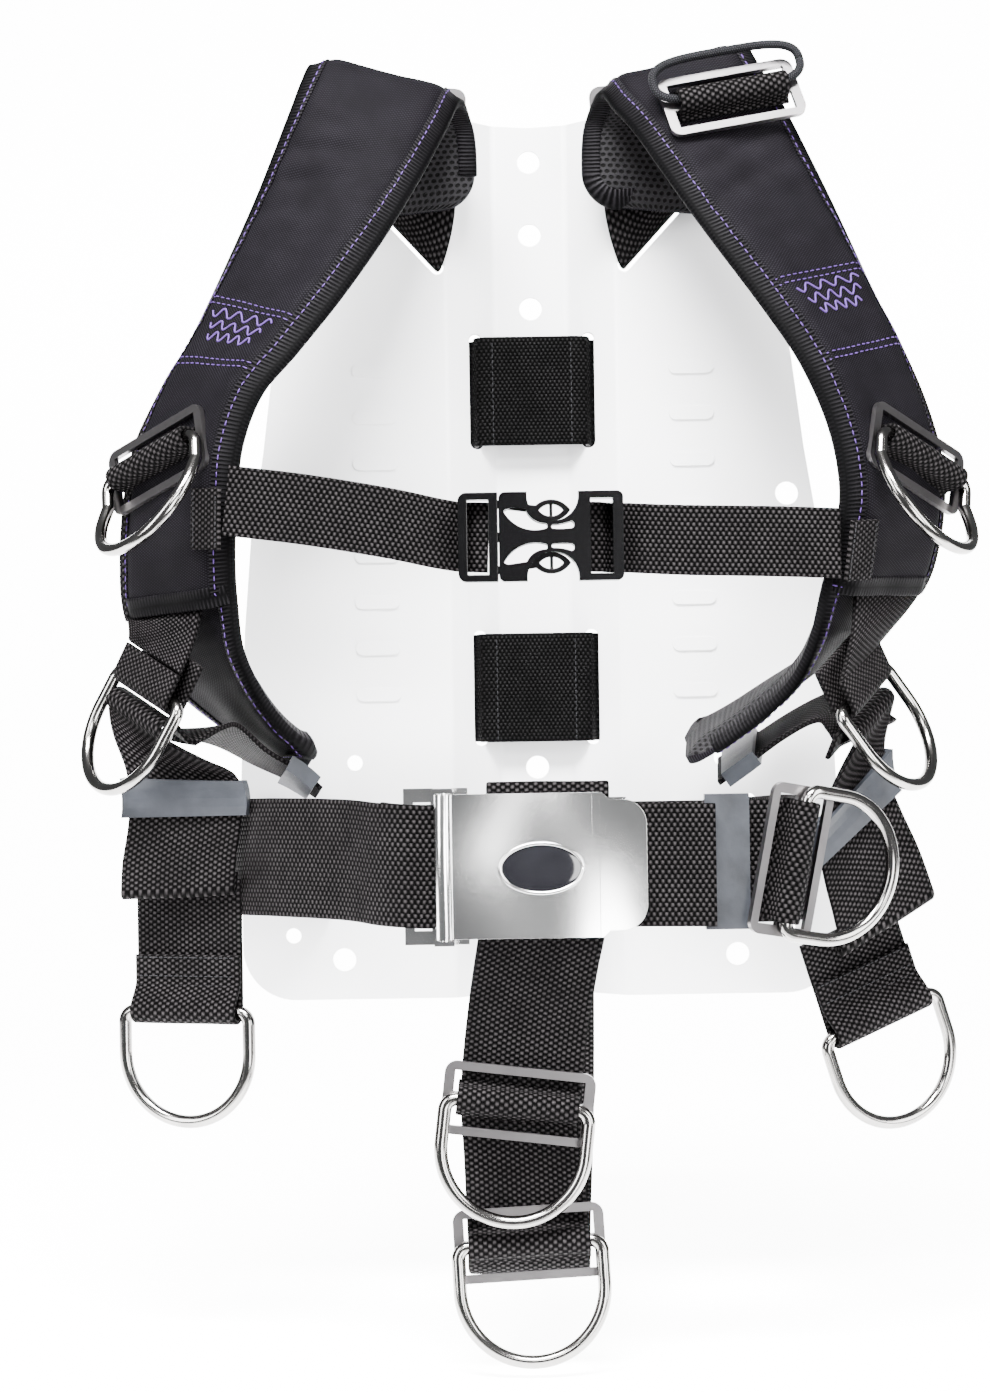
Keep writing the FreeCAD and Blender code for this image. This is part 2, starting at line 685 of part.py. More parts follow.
RIGHT_HIP_WEBBING = [
    (-164, -103, -120, -10, -45), (-150, -92, -118, 5, -55), (-137, -84, -120, 25, -68),
    (-122, -76, -130, 38, -77), (-107, -68, -139, 45, -80), (-97, -63, -147, 45, -82),
]
LEFT_HIP_WEBBING = [
    (142, -101, -124, 20, 50), (134, -95, -116, 30, 60), (124, -88, -112, 45, 70),
    (106, -80, -121, 55, 76), (90, -76, -132, 65, 78), (78, -74, -140, 70, 78),
]
RIGHT_ADJUSTER = [
    (-172.5, -110.5, -114, -30, -53), (-163, -113.5, -125, -16, -32), (-154, -114.5, -136, -4, -16),
    (-151.5, -114.5, -148, 0, -10), (-152.5, -114.5, -160, 1, -10), (-155, -113, -174, 2, -8),
    (-156, -112, -187, 2, -8),
]
LEFT_ADJUSTER = [
    (142, -107.5, -120, 40, 56), (137, -110, -131, 43, 45), (133, -112, -143, 44, 36),
    (132, -112.5, -157, 42, 30), (136, -112.5, -171, 38, 26), (142, -112, -188, 33, 20),
    (147, -111, -205, 30, 16),
]
RIGHT_HIP_BAR = ((-167, -112, -100.5), (0.516, -0.80, -0.306), (-0.738, -0.60, 0.32))
LEFT_HIP_BAR = ((138, -112, -106), (0.42, 0.83, 0.36), (0.803, -0.524, 0.27))
HIP_RING_SWING = {"right": -3.0, "left": -12.0}
HIP_FRONT_LEG = 11.5
HIP_BACK_LEG = 17.0
ADJUSTER_KEEPER_SPAN = (7, 11)
HIP_KEEPER_SPAN = (11, 14)

# The adjuster's free end hangs from the fold and is folded round its pull ring.
RIGHT_PULL_TOP = ((-154, -106, -183), (0.93, -0.36, 0.0), (-0.36, -0.93, 0.0))
LEFT_PULL_TOP = ((133, -102, -208), (0.86, 0.40, 0.33), (0.42, -0.90, 0.0))
PULL_LONG = {"right": 57.0, "left": 42.0}
PULL_BACK_LEG = 26.0


def make_webbing(label, frames, extra=None):
    low, high = webbing_span()
    strip = ribbon(frames, value("webbing_wide"), low, high)
    add_shape(label, Part.makeCompound([strip] + extra) if extra else strip)


def turned(place, degrees, axis):
    return place.multiply(FreeCAD.Placement(FreeCAD.Vector(0, 0, 0), FreeCAD.Rotation(axis, degrees)))


X_AXIS = FreeCAD.Vector(1, 0, 0)
Z_AXIS = FreeCAD.Vector(0, 0, 1)


def pull_places(name):
    """Top of the hanging end, and the middle of the ring's bar in its bottom fold."""
    top = place_at(*(RIGHT_PULL_TOP if name == "right" else LEFT_PULL_TOP))
    bar = top.multiply(FreeCAD.Placement(FreeCAD.Vector(0, -PULL_LONG[name], 0), FreeCAD.Rotation()))
    return top, bar


def make_pull(name):
    """Hanging end of the adjuster: webbing sewn back on itself round the pull ring's bar."""
    bar = pull_places(name)[1]
    inner = value("ring_wire") / 2 + value("running_gap")
    downward = turned(bar, 90, X_AXIS)
    add_shape(name + "_pull_strap",
              hairpin(downward, value("webbing_wide"), value("webbing_thick"), inner,
                      PULL_LONG[name], PULL_BACK_LEG))
    make_ring(name + "_pull_ring", bar)


def slider_places(name):
    """Seats of the shoulder and back sliders of one side."""
    pad_stations = RIGHT_PAD if name == "right" else LEFT_PAD
    outward = -1 if name == "right" else 1
    share = SHOULDER_SLIDER_SHARE[name]
    rise = value("sleeve_thick") + webbing_span()[1] + 2 * value("layer_gap")
    shoulder = seat(pad_stations, share, rise, outward * value("webbing_shift"))
    shoulder = turned(shoulder, SHOULDER_SLIDER_LEAN[name], Z_AXIS)
    back = place_at((outward * 60, BACK_SLIDER_Y, 160), (1, 0, 0.08 * outward), (0, 1, 0))
    return shoulder, back


def hip_bar(name):
    """Middle of the hip ring's bar, which hangs in the lower end of the shoulder webbing."""
    return place_at(*(RIGHT_HIP_BAR if name == "right" else LEFT_HIP_BAR))


def hip_loop(name):
    """The webbing's lower end, sewn back on itself round the hip ring's bar."""
    inner = value("ring_wire") / 2 + value("running_gap")
    return hairpin(turned(hip_bar(name), 90, X_AXIS), value("webbing_wide"), value("webbing_thick"), inner,
                   HIP_BACK_LEG, HIP_FRONT_LEG)


SHOULDER_SLIDER_SHARE = {"right": 0.60, "left": 0.595}
SHOULDER_SLIDER_LEAN = {"right": 22.0, "left": -30.0}
SHOULDER_RING_SWING = -6.0
BACK_SLIDER_Y = -10.2


def make_harness_side(name):
    make_shoulder(name, RIGHT_PAD if name == "right" else LEFT_PAD)
    shoulder, back = slider_places(name)
    folds = [hump(shoulder), hump(back), hip_loop(name)]
    make_webbing(name + "_shoulder_webbing", strap_frames(name), folds)
    make_slider(name + "_shoulder_slider", shoulder)
    make_slider(name + "_back_slider", back)
    swing = turned(bar_place(shoulder), SHOULDER_RING_SWING, X_AXIS)
    make_ring(name + "_shoulder_ring", swing, value("ring_bend"))
    make_ring(name + "_hip_ring", turned(hip_bar(name), HIP_RING_SWING[name], X_AXIS))

    adjuster = RIGHT_ADJUSTER if name == "right" else LEFT_ADJUSTER
    make_webbing(name + "_adjuster_webbing", flow(adjuster))
    low, high = webbing_span()
    first, last = ADJUSTER_KEEPER_SPAN
    keeper(name + "_adjuster_keeper", flow(adjuster)[first:last + 1], low, high)
    hip_webbing = RIGHT_HIP_WEBBING if name == "right" else LEFT_HIP_WEBBING
    make_webbing(name + "_hip_webbing", flow(hip_webbing))
    first, last = HIP_KEEPER_SPAN
    keeper(name + "_hip_keeper", flow(hip_webbing)[first:last + 1], low, high)
    make_pull(name)


# ---------------------------------------------------------------- inflator holder

INFLATOR_SHARE = 0.285
INFLATOR_SHIFT = 9.0
INFLATOR_CLEAR = 3.0
INFLATOR_LOOP_UP = 20.0


def make_inflator_holder():
    """Slider with a stub of webbing over its bar, and an elastic loop that holds the inflator hose."""
    rise = value("sleeve_thick") + webbing_span()[1] + 2 * value("layer_gap") + INFLATOR_CLEAR
    place = seat(LEFT_PAD, INFLATOR_SHARE, rise, INFLATOR_SHIFT)
    make_slider("inflator_slider", place)
    add_shape("inflator_webbing", hump(place))
    level = bar_height()
    half = value("ring_half") - 1
    up = INFLATOR_LOOP_UP

    def spot(across, along):
        return FreeCAD.Vector(across, along, level)

    path = Part.Wire([
        Part.LineSegment(spot(-half, 0), spot(half, 0)).toShape(),
        Part.Arc(spot(half, 0), spot(half + up / 2, up / 2), spot(half, up)).toShape(),
        Part.LineSegment(spot(half, up), spot(-half, up)).toShape(),
        Part.Arc(spot(-half, up), spot(-half - up / 2, up / 2), spot(-half, 0)).toShape(),
    ])
    profile = Part.Wire(Part.makeCircle(value("loop_cord_radius"), spot(-half, 0), X_AXIS))
    loop = add_shape("inflator_loop", path.makePipeShell([profile], True, False))
    loop.Placement = place


# ---------------------------------------------------------------- chest strap and its buckle

CHEST_BUCKLE_Y = -119.0
CHEST_BUCKLE_Z = -39.0
SOCKET_LEFT = -16.5
RIGHT_CHEST = [(-132, -129.2, -22, 83, 0), (-100, -126, -26, 83, 0), (-65, -122.5, -32, 83, 0),
               (-44, -119.6, -36.5, 85, 0), (-35, -119, -38, 87, 0)]
LEFT_CHEST = [(37, -119, -39.6, 90, 0), (46, -119.6, -40.4, 90, 0), (65, -121.5, -41.5, 90, 0),
              (100, -125, -42.7, 90, 0), (128.3, -127.5, -44.1, 90, 0)]
BITE_CENTRE = (23.0, 17.5)
TEARDROP = [(2.0, 11.0), (6.5, 12.4), (11.3, 11.8), (13.8, 7.9), (19.7, 5.6), (20.7, 4.4), (19.7, 3.2),
            (7.6, 4.9)]
SIDE_WINDOW = [(23.0, 5.0), (26.7, 5.3), (30.8, 6.4), (32.1, 4.8), (30.4, 3.2), (26.7, 3.0), (23.0, 3.2),
               (22.4, 4.1)]
CHEST_TAB = (19.0, 28.0)
CHEST_TAB_SHIFT = 26.0
CHEST_TAB_SHARE = {"right": 0.672, "left": 0.672}


def make_chest_straps():
    half = value("chest_thick") / 2
    add_shape("right_chest_strap", ribbon(flow(RIGHT_CHEST), value("chest_wide"), -half, half))
    add_shape("left_chest_strap", ribbon(flow(LEFT_CHEST), value("chest_wide"), -half, half))
    for name, stations, inward in (("right", RIGHT_PAD, 1), ("left", LEFT_PAD, -1)):
        rise = value("sleeve_thick") + webbing_span()[1] + 2 * value("layer_gap") + value("chest_thick") / 2
        place = seat(stations, CHEST_TAB_SHARE[name], rise, inward * CHEST_TAB_SHIFT)
        label = name + "_chest_tab"
        tab = box(label, (CHEST_TAB[0], CHEST_TAB[1], size("chest_thick")), place)
        tab.Label = label
        products.append(tab)


def lens(sketch, centre, long, high):
    """Pointed oval of two arcs."""
    across, up = centre
    arc_loop(sketch, [(across - long / 2, up), (across, up + high / 2), (across + long / 2, up),
                      (across, up - high / 2)])


def make_chest_buckle():
    """Side-release buckle: the plug's two sprung prongs end in ovals that snap into bites in the socket."""
    left = Size(SOCKET_LEFT, "(%.1f)" % SOCKET_LEFT)
    middle = Size(CHEST_BUCKLE_Z, "(%.1f)" % CHEST_BUCKLE_Z)
    high = size("socket_high")
    depth = Size(-CHEST_BUCKLE_Y, "(%.1f)" % -CHEST_BUCKLE_Y)

    socket = start_body("chest_buckle_socket")
    outline = sketch_on(socket, "XZ_Plane", "outline", depth)
    right = left + size("socket_long")
    rectangle(outline, left, middle - high * 0.5, right, middle + high * 0.5)
    block = pad(socket, "block", outline, size("socket_thick"), midplane=True)
    doc.recompute()
    across = edges_where(block.Shape, lambda one, two: abs(one.x - two.x) < 0.01
                         and abs(one.z - two.z) < 0.01)
    soften(socket, "rounded", block, across, size("running_gap") * 6)
    mouth = sketch_on(socket, "XZ_Plane", "mouth", depth)
    inside = high * 0.5 - size("socket_wall")
    mouth_end = left + size("prong_long") + 1
    rectangle(mouth, left - 2, middle - inside, mouth_end, middle + inside)
    hollow = pocket_mid(socket, "hollow", mouth, size("prong_thick") + 1)
    windows = sketch_on(socket, "XZ_Plane", "windows", depth)
    bar_left = right - size("socket_bar") - size("socket_window")
    bar_right = right - size("socket_bar")
    rectangle(windows, bar_left, middle - high * 0.5 + 3, bar_right, middle + high * 0.5 - 3)
    pocket(socket, "window_cut", windows)
    bites = sketch_on(socket, "XZ_Plane", "bites", depth)
    for side in (-1, 1):
        circle(bites, left + BITE_CENTRE[0], middle + BITE_CENTRE[1] * side, size("bite_radius"))
    pocket(socket, "bitten", bites)
    curves = sketch_on(socket, "XZ_Plane", "curves", depth)
    for side in (-1, 1):
        for shape in (TEARDROP, SIDE_WINDOW):
            arc_loop(curves, [(SOCKET_LEFT + across, CHEST_BUCKLE_Z + up * side) for across, up in shape])
    pocket(socket, "curves_cut", curves)

    plug = start_body("chest_buckle_plug")
    base_right = left - 0.4
    base_left = base_right - size("plug_long")
    base = sketch_on(plug, "XZ_Plane", "base", depth)
    rectangle(base, base_left, middle - high * 0.5, base_right, middle + high * 0.5)
    base_block = pad(plug, "base_block", base, size("prong_thick") + 5, midplane=True)
    doc.recompute()
    outer = edges_where(base_block.Shape, lambda one, two: abs(one.x - two.x) < 0.01
                        and abs(one.z - two.z) < 0.01 and one.x < plain(base_left) + 0.1)
    soften(plug, "rounded", base_block, outer, size("running_gap") * 8)
    window = sketch_on(plug, "XZ_Plane", "strap_window", depth)
    rectangle(window, base_left + 4, middle - high * 0.5 + 3, base_left + 13, middle + high * 0.5 - 3)
    pocket(plug, "strap_window_cut", window)
    prongs = sketch_on(plug, "XZ_Plane", "prongs", depth)
    prong = size("prong_high")
    reach = inside - 0.6
    lens_middle = plain(base_right) + value("prong_long") - value("lens_long") / 2
    lens_left = plain(base_right) + value("prong_long") - value("lens_long")
    root = plain(base_right) - 1
    rectangle(prongs, base_right - 1, middle - prong * 0.6, lens_left, middle + prong * 0.6)
    pad(plug, "guide_prong", prongs, size("prong_thick"), midplane=True)
    arms = sketch_on(plug, "XZ_Plane", "arms", depth)
    ovals = sketch_on(plug, "XZ_Plane", "ovals", depth)
    eyes = sketch_on(plug, "XZ_Plane", "eyes", depth)
    bars = sketch_on(plug, "XZ_Plane", "bars", depth)
    for side in (-1, 1):
        edge = CHEST_BUCKLE_Z + plain(reach) * side
        oval_up = edge - value("lens_high") / 2 * side
        polygon(arms, [(root, edge), (root, edge - plain(prong) * side),
                       (lens_left + 2, oval_up - 1.2 * side), (lens_left + 5, oval_up + 1.6 * side)])
        lens(ovals, (lens_middle, oval_up), value("lens_long"), value("lens_high"))
        lens(eyes, (lens_middle, oval_up), value("lens_long") * 0.62, value("lens_high") * 0.56)
        rectangle(bars, lens_middle - 0.7, oval_up - 3.2, lens_middle + 0.7, oval_up + 3.2)
    pad(plug, "arm_blocks", arms, size("prong_thick"), midplane=True)
    pad(plug, "oval_blocks", ovals, size("prong_thick"), midplane=True)
    doc.recompute()
    pocket(plug, "eyes_cut", eyes)
    pad(plug, "eye_bars", bars, size("prong_thick") * 0.6, midplane=True)
    doc.recompute()


def pocket_mid(body, name, sketch, length):
    """Cut a blind slot that reaches equally to both sides of its sketch."""
    before = body.Shape.Volume
    feature = body.newObject("PartDesign::Pocket", name)
    feature.Profile = sketch
    feature.Length = plain(length)
    feature.setExpression("Length", length.formula)
    feature.Midplane = True
    doc.recompute()
    if body.Shape.Volume > before - 0.1:
        raise RuntimeError("%s cut nothing" % name)
    return feature


# ---------------------------------------------------------------- waist belt

RIGHT_BELT = [
    (-68, -18.6, -179, 90, 0), (-86, -18.4, -179, 90, 0), (-94.5, -20.5, -179, 90, 0),
    (-95.7, -25, -179, 90, 0), (-99, -34, -178.5, 90, 0), (-112, -52, -177, 90, 0),
    (-121, -78, -175, 90, 0), (-118, -104, -174, 90, 0), (-103, -134, -173, 90, 0),
    (-82, -164, -173, 90, 0), (-68, -184, -174, 90, 0), (-60, -191.6, -174.5, 90, 0),
    (-54, -193, -175, 90, 0), (-50, -192.2, -175, 90, 0), (-48.8, -190.4, -175, 90, 0),
    (-50, -188.2, -175, 90, 0), (-54, -187.4, -175, 90, 0), (-60, -184.6, -174.5, 90, 0),
    (-66, -176, -174, 90, 0),
]
LEFT_BELT = [
    (68, -18.6, -179, -90, 0), (86, -18.4, -179, -90, 0), (94.5, -20.5, -179, -90, 0),
    (95.7, -25, -179, -90, 0), (99, -36, -178.5, -90, 0), (106, -65, -177, -90, 0),
    (109, -100, -176, -90, 0), (109, -135, -175, -90, 0), (110, -158, -175, -90, 0),
    (105, -174, -175, -90, 0), (95, -182.5, -175, -90, 0), (82, -184.6, -175, -90, 0),
    (60, -184.4, -175, -90, 0),
    (0, -184.2, -175, -90, 0), (-28, -184.2, -175, -90, 0), (-34.5, -185.4, -175, -90, 0),
    (-37.2, -188.7, -175, -90, 0), (-34.5, -192, -175, -90, 0), (-28, -193.2, -175, -90, 0),
    (0, -193.2, -175, -90, 0), (40, -193, -175.5, -90, 0), (69, -191.9, -176, -90, 0),
]
WAIST_SLIDER = ((99, -186.6, -175), (0.19, 0, 0.98), (0.5, -0.87, 0))
WAIST_KEEPER = [(83, -184.6, -175, -90, 0, 0), (74, -184.6, -175, -90, 0, 0), (65, -184.6, -175, -90, 0, 0)]
FRAME_FRONT = 191.3


def make_belt():
    half = value("webbing_thick") / 2
    wide = value("webbing_wide")
    place = place_at(*WAIST_SLIDER)
    add_shape("right_waist_belt", ribbon(flow(RIGHT_BELT), wide, -half, half))
    left = ribbon(flow(LEFT_BELT), wide, -half, half)
    add_shape("left_waist_belt", Part.makeCompound([left, hump(place)]))
    make_slider("waist_slider", place)
    make_ring("waist_ring", bar_place(place))
    keeper("waist_keeper", frames_of(WAIST_KEEPER), -half, half)


def make_waist_buckle():
    middle = size("belt_height")
    hinge = size("hinge_out")
    front = size("hinge_front")
    behind = Size(FRAME_FRONT, "(%.1f)" % FRAME_FRONT) - size("frame_thick")

    frame = start_body("waist_buckle_frame")
    outline = sketch_on(frame, "XZ_Plane", "outline", behind)
    tall = size("flap_high") * 0.5 + 2.4
    low = size("webbing_wide") * 0.5 + 2
    left = hinge - 16
    step = hinge + 10
    right = hinge + 74
    polygon(outline, [(left, middle - tall), (step, middle - tall), (step, middle - low),
                      (right, middle - low), (right, middle + low), (step, middle + low),
                      (step, middle + tall), (left, middle + tall)])
    pad(frame, "plate", outline, size("frame_thick"))
    ears = sketch_on(frame, "XZ_Plane", "ears", behind)
    for side in (-1, 1):
        outer = middle + tall * side
        inner = middle + (tall - 1.8) * side
        bottom, top = (inner, outer) if side > 0 else (outer, inner)
        rectangle(ears, hinge - 4, bottom, hinge + 4, top)
    pad(frame, "ear_blocks", ears, -front - behind + 3.8)
    doc.recompute()
    windows = sketch_on(frame, "XZ_Plane", "windows", behind)
    opening = size("webbing_wide") * 0.5 + 1
    rectangle(windows, left + 4, middle - opening, left + 11, middle + opening)
    rectangle(windows, left + 15, middle - opening, step, middle + opening)
    pocket(frame, "windows_cut", windows)
    bore = sketch_on(frame, "XY_Plane", "bore")
    circle(bore, hinge, front, size("pin_radius") + 0.05)
    pocket(frame, "bored", bore)

    pin = rod("waist_buckle_pin", size("pin_radius"), tall * 2, at(hinge, front, middle))
    pin.Label = "waist_buckle_pin"
    products.append(pin)

    flap = start_body("waist_buckle_flap")
    face = sketch_on(flap, "XZ_Plane", "face", -front - 1.8)
    end = hinge + size("flap_long")
    tip = end + size("tongue_long")
    half = size("flap_high") * 0.5
    tongue = size("tongue_high") * 0.5
    polygon(face, [(hinge, middle - half), (end, middle - half), (end + 3, middle - tongue),
                   (tip, middle - tongue), (tip, middle + tongue), (end + 3, middle + tongue),
                   (end, middle + half), (hinge, middle + half)])
    plate = pad(flap, "plate_of_flap", face, size("flap_thick"))
    doc.recompute()
    corners = edges_where(plate.Shape, lambda one, two: abs(one.x - two.x) < 0.01
                          and abs(one.z - two.z) < 0.01 and one.x > plain(tip) - 1)
    soften(flap, "round_tongue", plate, corners, size("slider_round") * 2)
    barrel = sketch_on(flap, "XY_Plane", "barrel", middle)
    circle(barrel, hinge, front, size("pin_radius") + 1.6)
    pad(flap, "barrel_block", barrel, size("flap_high"), midplane=True)
    doc.recompute()
    eye = sketch_on(flap, "XY_Plane", "eye")
    circle(eye, hinge, front, size("pin_radius") + 0.05)
    pocket(flap, "eye_cut", eye)
    crease = sketch_on(flap, "XZ_Plane", "crease", -front - 1.8 + size("flap_thick"))
    rectangle(crease, end - 4, middle - half - 1, end - 1, middle + half + 1)
    pocket(flap, "crease_pressed", crease, size("flap_thick") * 0.35)

    badge = doc.addObject("Part::Ellipsoid", "waist_buckle_badge")
    badge.Label = "waist_buckle_badge"
    badge.setExpression("Radius1", "Sizes.badge_thick")
    badge.setExpression("Radius2", "Sizes.badge_long / 2")
    badge.setExpression("Radius3", "Sizes.badge_high / 2")
    badge.Angle1 = 0
    badge_front = plain(front) + 1.8 - value("flap_thick")
    centre = FreeCAD.Vector(plain(hinge) + 39.5, badge_front, plain(middle) - 1)
    badge.Placement = FreeCAD.Placement(centre, FreeCAD.Rotation(X_AXIS, 90))
    products.append(badge)


# ---------------------------------------------------------------- crotch strap

CROTCH = [
    (0, 4.6, -160, 0, 0), (0, 4.4, -180, 0, 0), (0, 0.8, -189, 0, 0), (0, -6, -190.2, 0, 0),
    (0, -13, -191.4, 0, 0), (-1, -27, -204, 0, 0), (-2, -55, -240, 0, 0), (-4, -92, -288, 0, 0),
    (-7, -128, -328, 0, 0), (-8, -148, -344, 0, 0), (-9, -159, -343, 0, 0), (-9, -165, -330, 0, 0),
    (-10, -167, -300, -3, 0), (-11, -168, -272, -5, 0), (-8, -172, -240, -4, 0), (-3, -178, -207, -2, 0),
    (1, -180.8, -185, 0, 0), (1.5, -181.2, -160, 0, 0), (1.5, -181.8, -147, 0, 0),
    (1.5, -184.5, -142.4, 0, 0), (1.5, -187.2, -147, 0, 0), (1.5, -187.5, -160, 0, 0),
    (1, -187.5, -188, 0, 0), (-1, -187, -203, -2, 0), (-4, -183.5, -217, -3, 0), (-8, -177, -240, -4, 0),
    (-10.5, -173.6, -262, -5, 0),
]
CROTCH_UPPER = ((-12.5, -176.4, -273), (1, 0, -0.12), (0, -1, 0))
CROTCH_LOWER = ((-8.5, -170.6, -331), (1, 0, 0.05), (0, -1, 0.12))
CROTCH_RING_SWING = -4.0


def make_crotch_strap():
    half = value("webbing_thick") / 2
    upper = place_at(*CROTCH_UPPER)
    lower = place_at(*CROTCH_LOWER)
    strip = ribbon(flow(CROTCH), value("webbing_wide"), -half, half)
    add_shape("crotch_strap", Part.makeCompound([strip, hump(upper), hump(lower)]))
    make_slider("crotch_upper_slider", upper)
    make_ring("crotch_upper_ring", turned(bar_place(upper), CROTCH_RING_SWING, X_AXIS))
    make_slider("crotch_lower_slider", lower)
    make_ring("crotch_lower_ring", turned(bar_place(lower), CROTCH_RING_SWING, X_AXIS))


# ---------------------------------------------------------------- build, check and write

def build_all():
    make_backplate()
    for name in ("upper", "lower"):
        make_tank_band(name)
    for name in ("right", "left"):
        make_harness_side(name)
    make_inflator_holder()
    make_chest_straps()
    make_chest_buckle()
    make_belt()
    make_waist_buckle()
    make_crotch_strap()
    doc.recompute()


def check_all():
    for entry in doc.Objects:
        if "Invalid" in entry.State or "Error" in entry.State:
            raise RuntimeError("%s failed: %s" % (entry.Name, entry.State))
    for product in products:
        if product.Shape.isNull() or not product.Shape.isValid():
            raise RuntimeError("%s has no sound shape" % product.Label)


build_all()
check_all()
for product in products:
    product.Shape.exportStep("parts/%s.step" % product.Label)
print("%d sub-parts written" % len(products))
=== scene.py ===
import math

import bmesh
import bpy
import numpy
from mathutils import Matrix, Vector, noise


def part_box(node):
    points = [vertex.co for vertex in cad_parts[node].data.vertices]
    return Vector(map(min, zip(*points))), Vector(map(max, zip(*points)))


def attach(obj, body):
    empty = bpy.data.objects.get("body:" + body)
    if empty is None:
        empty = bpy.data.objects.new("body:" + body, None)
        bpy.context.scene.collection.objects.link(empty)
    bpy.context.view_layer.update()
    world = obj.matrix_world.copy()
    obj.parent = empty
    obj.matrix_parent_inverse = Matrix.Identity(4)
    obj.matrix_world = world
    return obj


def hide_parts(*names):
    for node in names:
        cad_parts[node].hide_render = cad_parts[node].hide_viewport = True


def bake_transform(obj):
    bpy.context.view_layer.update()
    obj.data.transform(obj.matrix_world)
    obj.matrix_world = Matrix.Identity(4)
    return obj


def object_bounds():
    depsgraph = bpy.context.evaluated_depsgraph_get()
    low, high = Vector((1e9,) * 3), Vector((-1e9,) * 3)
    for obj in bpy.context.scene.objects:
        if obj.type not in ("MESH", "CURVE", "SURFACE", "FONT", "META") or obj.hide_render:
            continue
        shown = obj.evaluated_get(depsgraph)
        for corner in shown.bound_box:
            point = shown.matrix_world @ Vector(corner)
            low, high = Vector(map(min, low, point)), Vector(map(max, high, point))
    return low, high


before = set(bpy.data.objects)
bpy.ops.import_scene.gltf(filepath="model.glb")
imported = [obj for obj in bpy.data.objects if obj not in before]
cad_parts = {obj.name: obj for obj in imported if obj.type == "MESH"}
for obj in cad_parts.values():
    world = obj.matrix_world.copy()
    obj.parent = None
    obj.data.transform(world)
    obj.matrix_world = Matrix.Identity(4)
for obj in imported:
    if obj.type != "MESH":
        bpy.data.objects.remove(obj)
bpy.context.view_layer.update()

# ---------------------------------------------------------------- backplate
# One sheet of 3 mm stainless steel, bent to a shallow channel that the tank rests in, with slots for
# the webbing and holes for the bolts. It is powder coated very pale grey, satin, a little marked by use.

MM = 0.001


def link(tree, source, target):
    """Join two sockets, or set the second one when the first is a plain number."""
    if isinstance(source, (int, float)):
        target.default_value = source
    else:
        tree.links.new(source, target)


def maths(tree, operation, *entries):
    node = tree.nodes.new("ShaderNodeMath")
    node.operation = operation
    for entry, socket in zip(entries, node.inputs):
        link(tree, entry, socket)
    return node.outputs[0]


def start_group(name, inputs, outputs):
    """Shader node group with named float or vector inputs; gives its tree, its inputs and its outputs."""
    tree = bpy.data.node_groups.new(name, "ShaderNodeTree")
    for label, kind, amount in inputs:
        socket = tree.interface.new_socket(label, in_out="INPUT", socket_type=kind)
        if amount is not None:
            socket.default_value = amount
    for label in outputs:
        tree.interface.new_socket(label, in_out="OUTPUT", socket_type="NodeSocketFloat")
    return tree, tree.nodes.new("NodeGroupInput").outputs, tree.nodes.new("NodeGroupOutput").inputs


def place_group(tree, group, **settings):
    node = tree.nodes.new("ShaderNodeGroup")
    node.node_tree = group
    for label, entry in settings.items():
        link(tree, entry, node.inputs[label.replace("_", " ").capitalize()])
    return node.outputs


def make_marks_group():
    """Handling marks: broad cloudy patches with fine scratches laid over them, from 0 to 1."""
    inputs = [("Place", "NodeSocketVector", None), ("Patch size", "NodeSocketFloat", 0.03),
              ("Scratch size", "NodeSocketFloat", 0.002)]
    tree, given, made = start_group("handling_marks", inputs, ["Mark", "Scratch"])
    cloud = tree.nodes.new("ShaderNodeTexNoise")
    link(tree, given["Place"], cloud.inputs["Vector"])
    link(tree, maths(tree, "DIVIDE", 1.0, given["Patch size"]), cloud.inputs["Scale"])
    cloud.inputs["Detail"].default_value = 4.0
    stretch = tree.nodes.new("ShaderNodeMapping")
    stretch.inputs["Scale"].default_value = (1.0, 1.0, 9.0)
    stretch.inputs["Rotation"].default_value = (0.4, 0.3, 0.9)
    link(tree, given["Place"], stretch.inputs["Vector"])
    scratch = tree.nodes.new("ShaderNodeTexNoise")
    link(tree, stretch.outputs[0], scratch.inputs["Vector"])
    link(tree, maths(tree, "DIVIDE", 1.0, given["Scratch size"]), scratch.inputs["Scale"])
    scratch.inputs["Detail"].default_value = 2.0
    link(tree, cloud.outputs["Fac"], made["Mark"])
    link(tree, scratch.outputs["Fac"], made["Scratch"])
    return tree


marks_group = make_marks_group()


def start_material(name, colour, roughness, metallic=0.0, specular=0.5):
    material = bpy.data.materials.new(name)
    material.use_nodes = True
    shader = material.node_tree.nodes["Principled BSDF"]
    shader.inputs["Base Color"].default_value = (*colour, 1.0)
    shader.inputs["Roughness"].default_value = roughness
    shader.inputs["Metallic"].default_value = metallic
    shader.inputs["Specular IOR Level"].default_value = specular
    return material, material.node_tree, shader


def object_place(tree):
    return tree.nodes.new("ShaderNodeTexCoord").outputs["Object"]


def spread(tree, mask, low, high):
    """Stretch a mask from 0..1 to low..high."""
    node = tree.nodes.new("ShaderNodeMapRange")
    node.inputs["To Min"].default_value = low
    node.inputs["To Max"].default_value = high
    link(tree, mask, node.inputs["Value"])
    return node.outputs[0]


def tint(tree, mask, dark, light):
    """Colour between two colours by a mask."""
    ramp = tree.nodes.new("ShaderNodeValToRGB")
    ramp.color_ramp.elements[0].color = (*dark, 1.0)
    ramp.color_ramp.elements[1].color = (*light, 1.0)
    link(tree, mask, ramp.inputs["Fac"])
    return ramp.outputs["Color"]


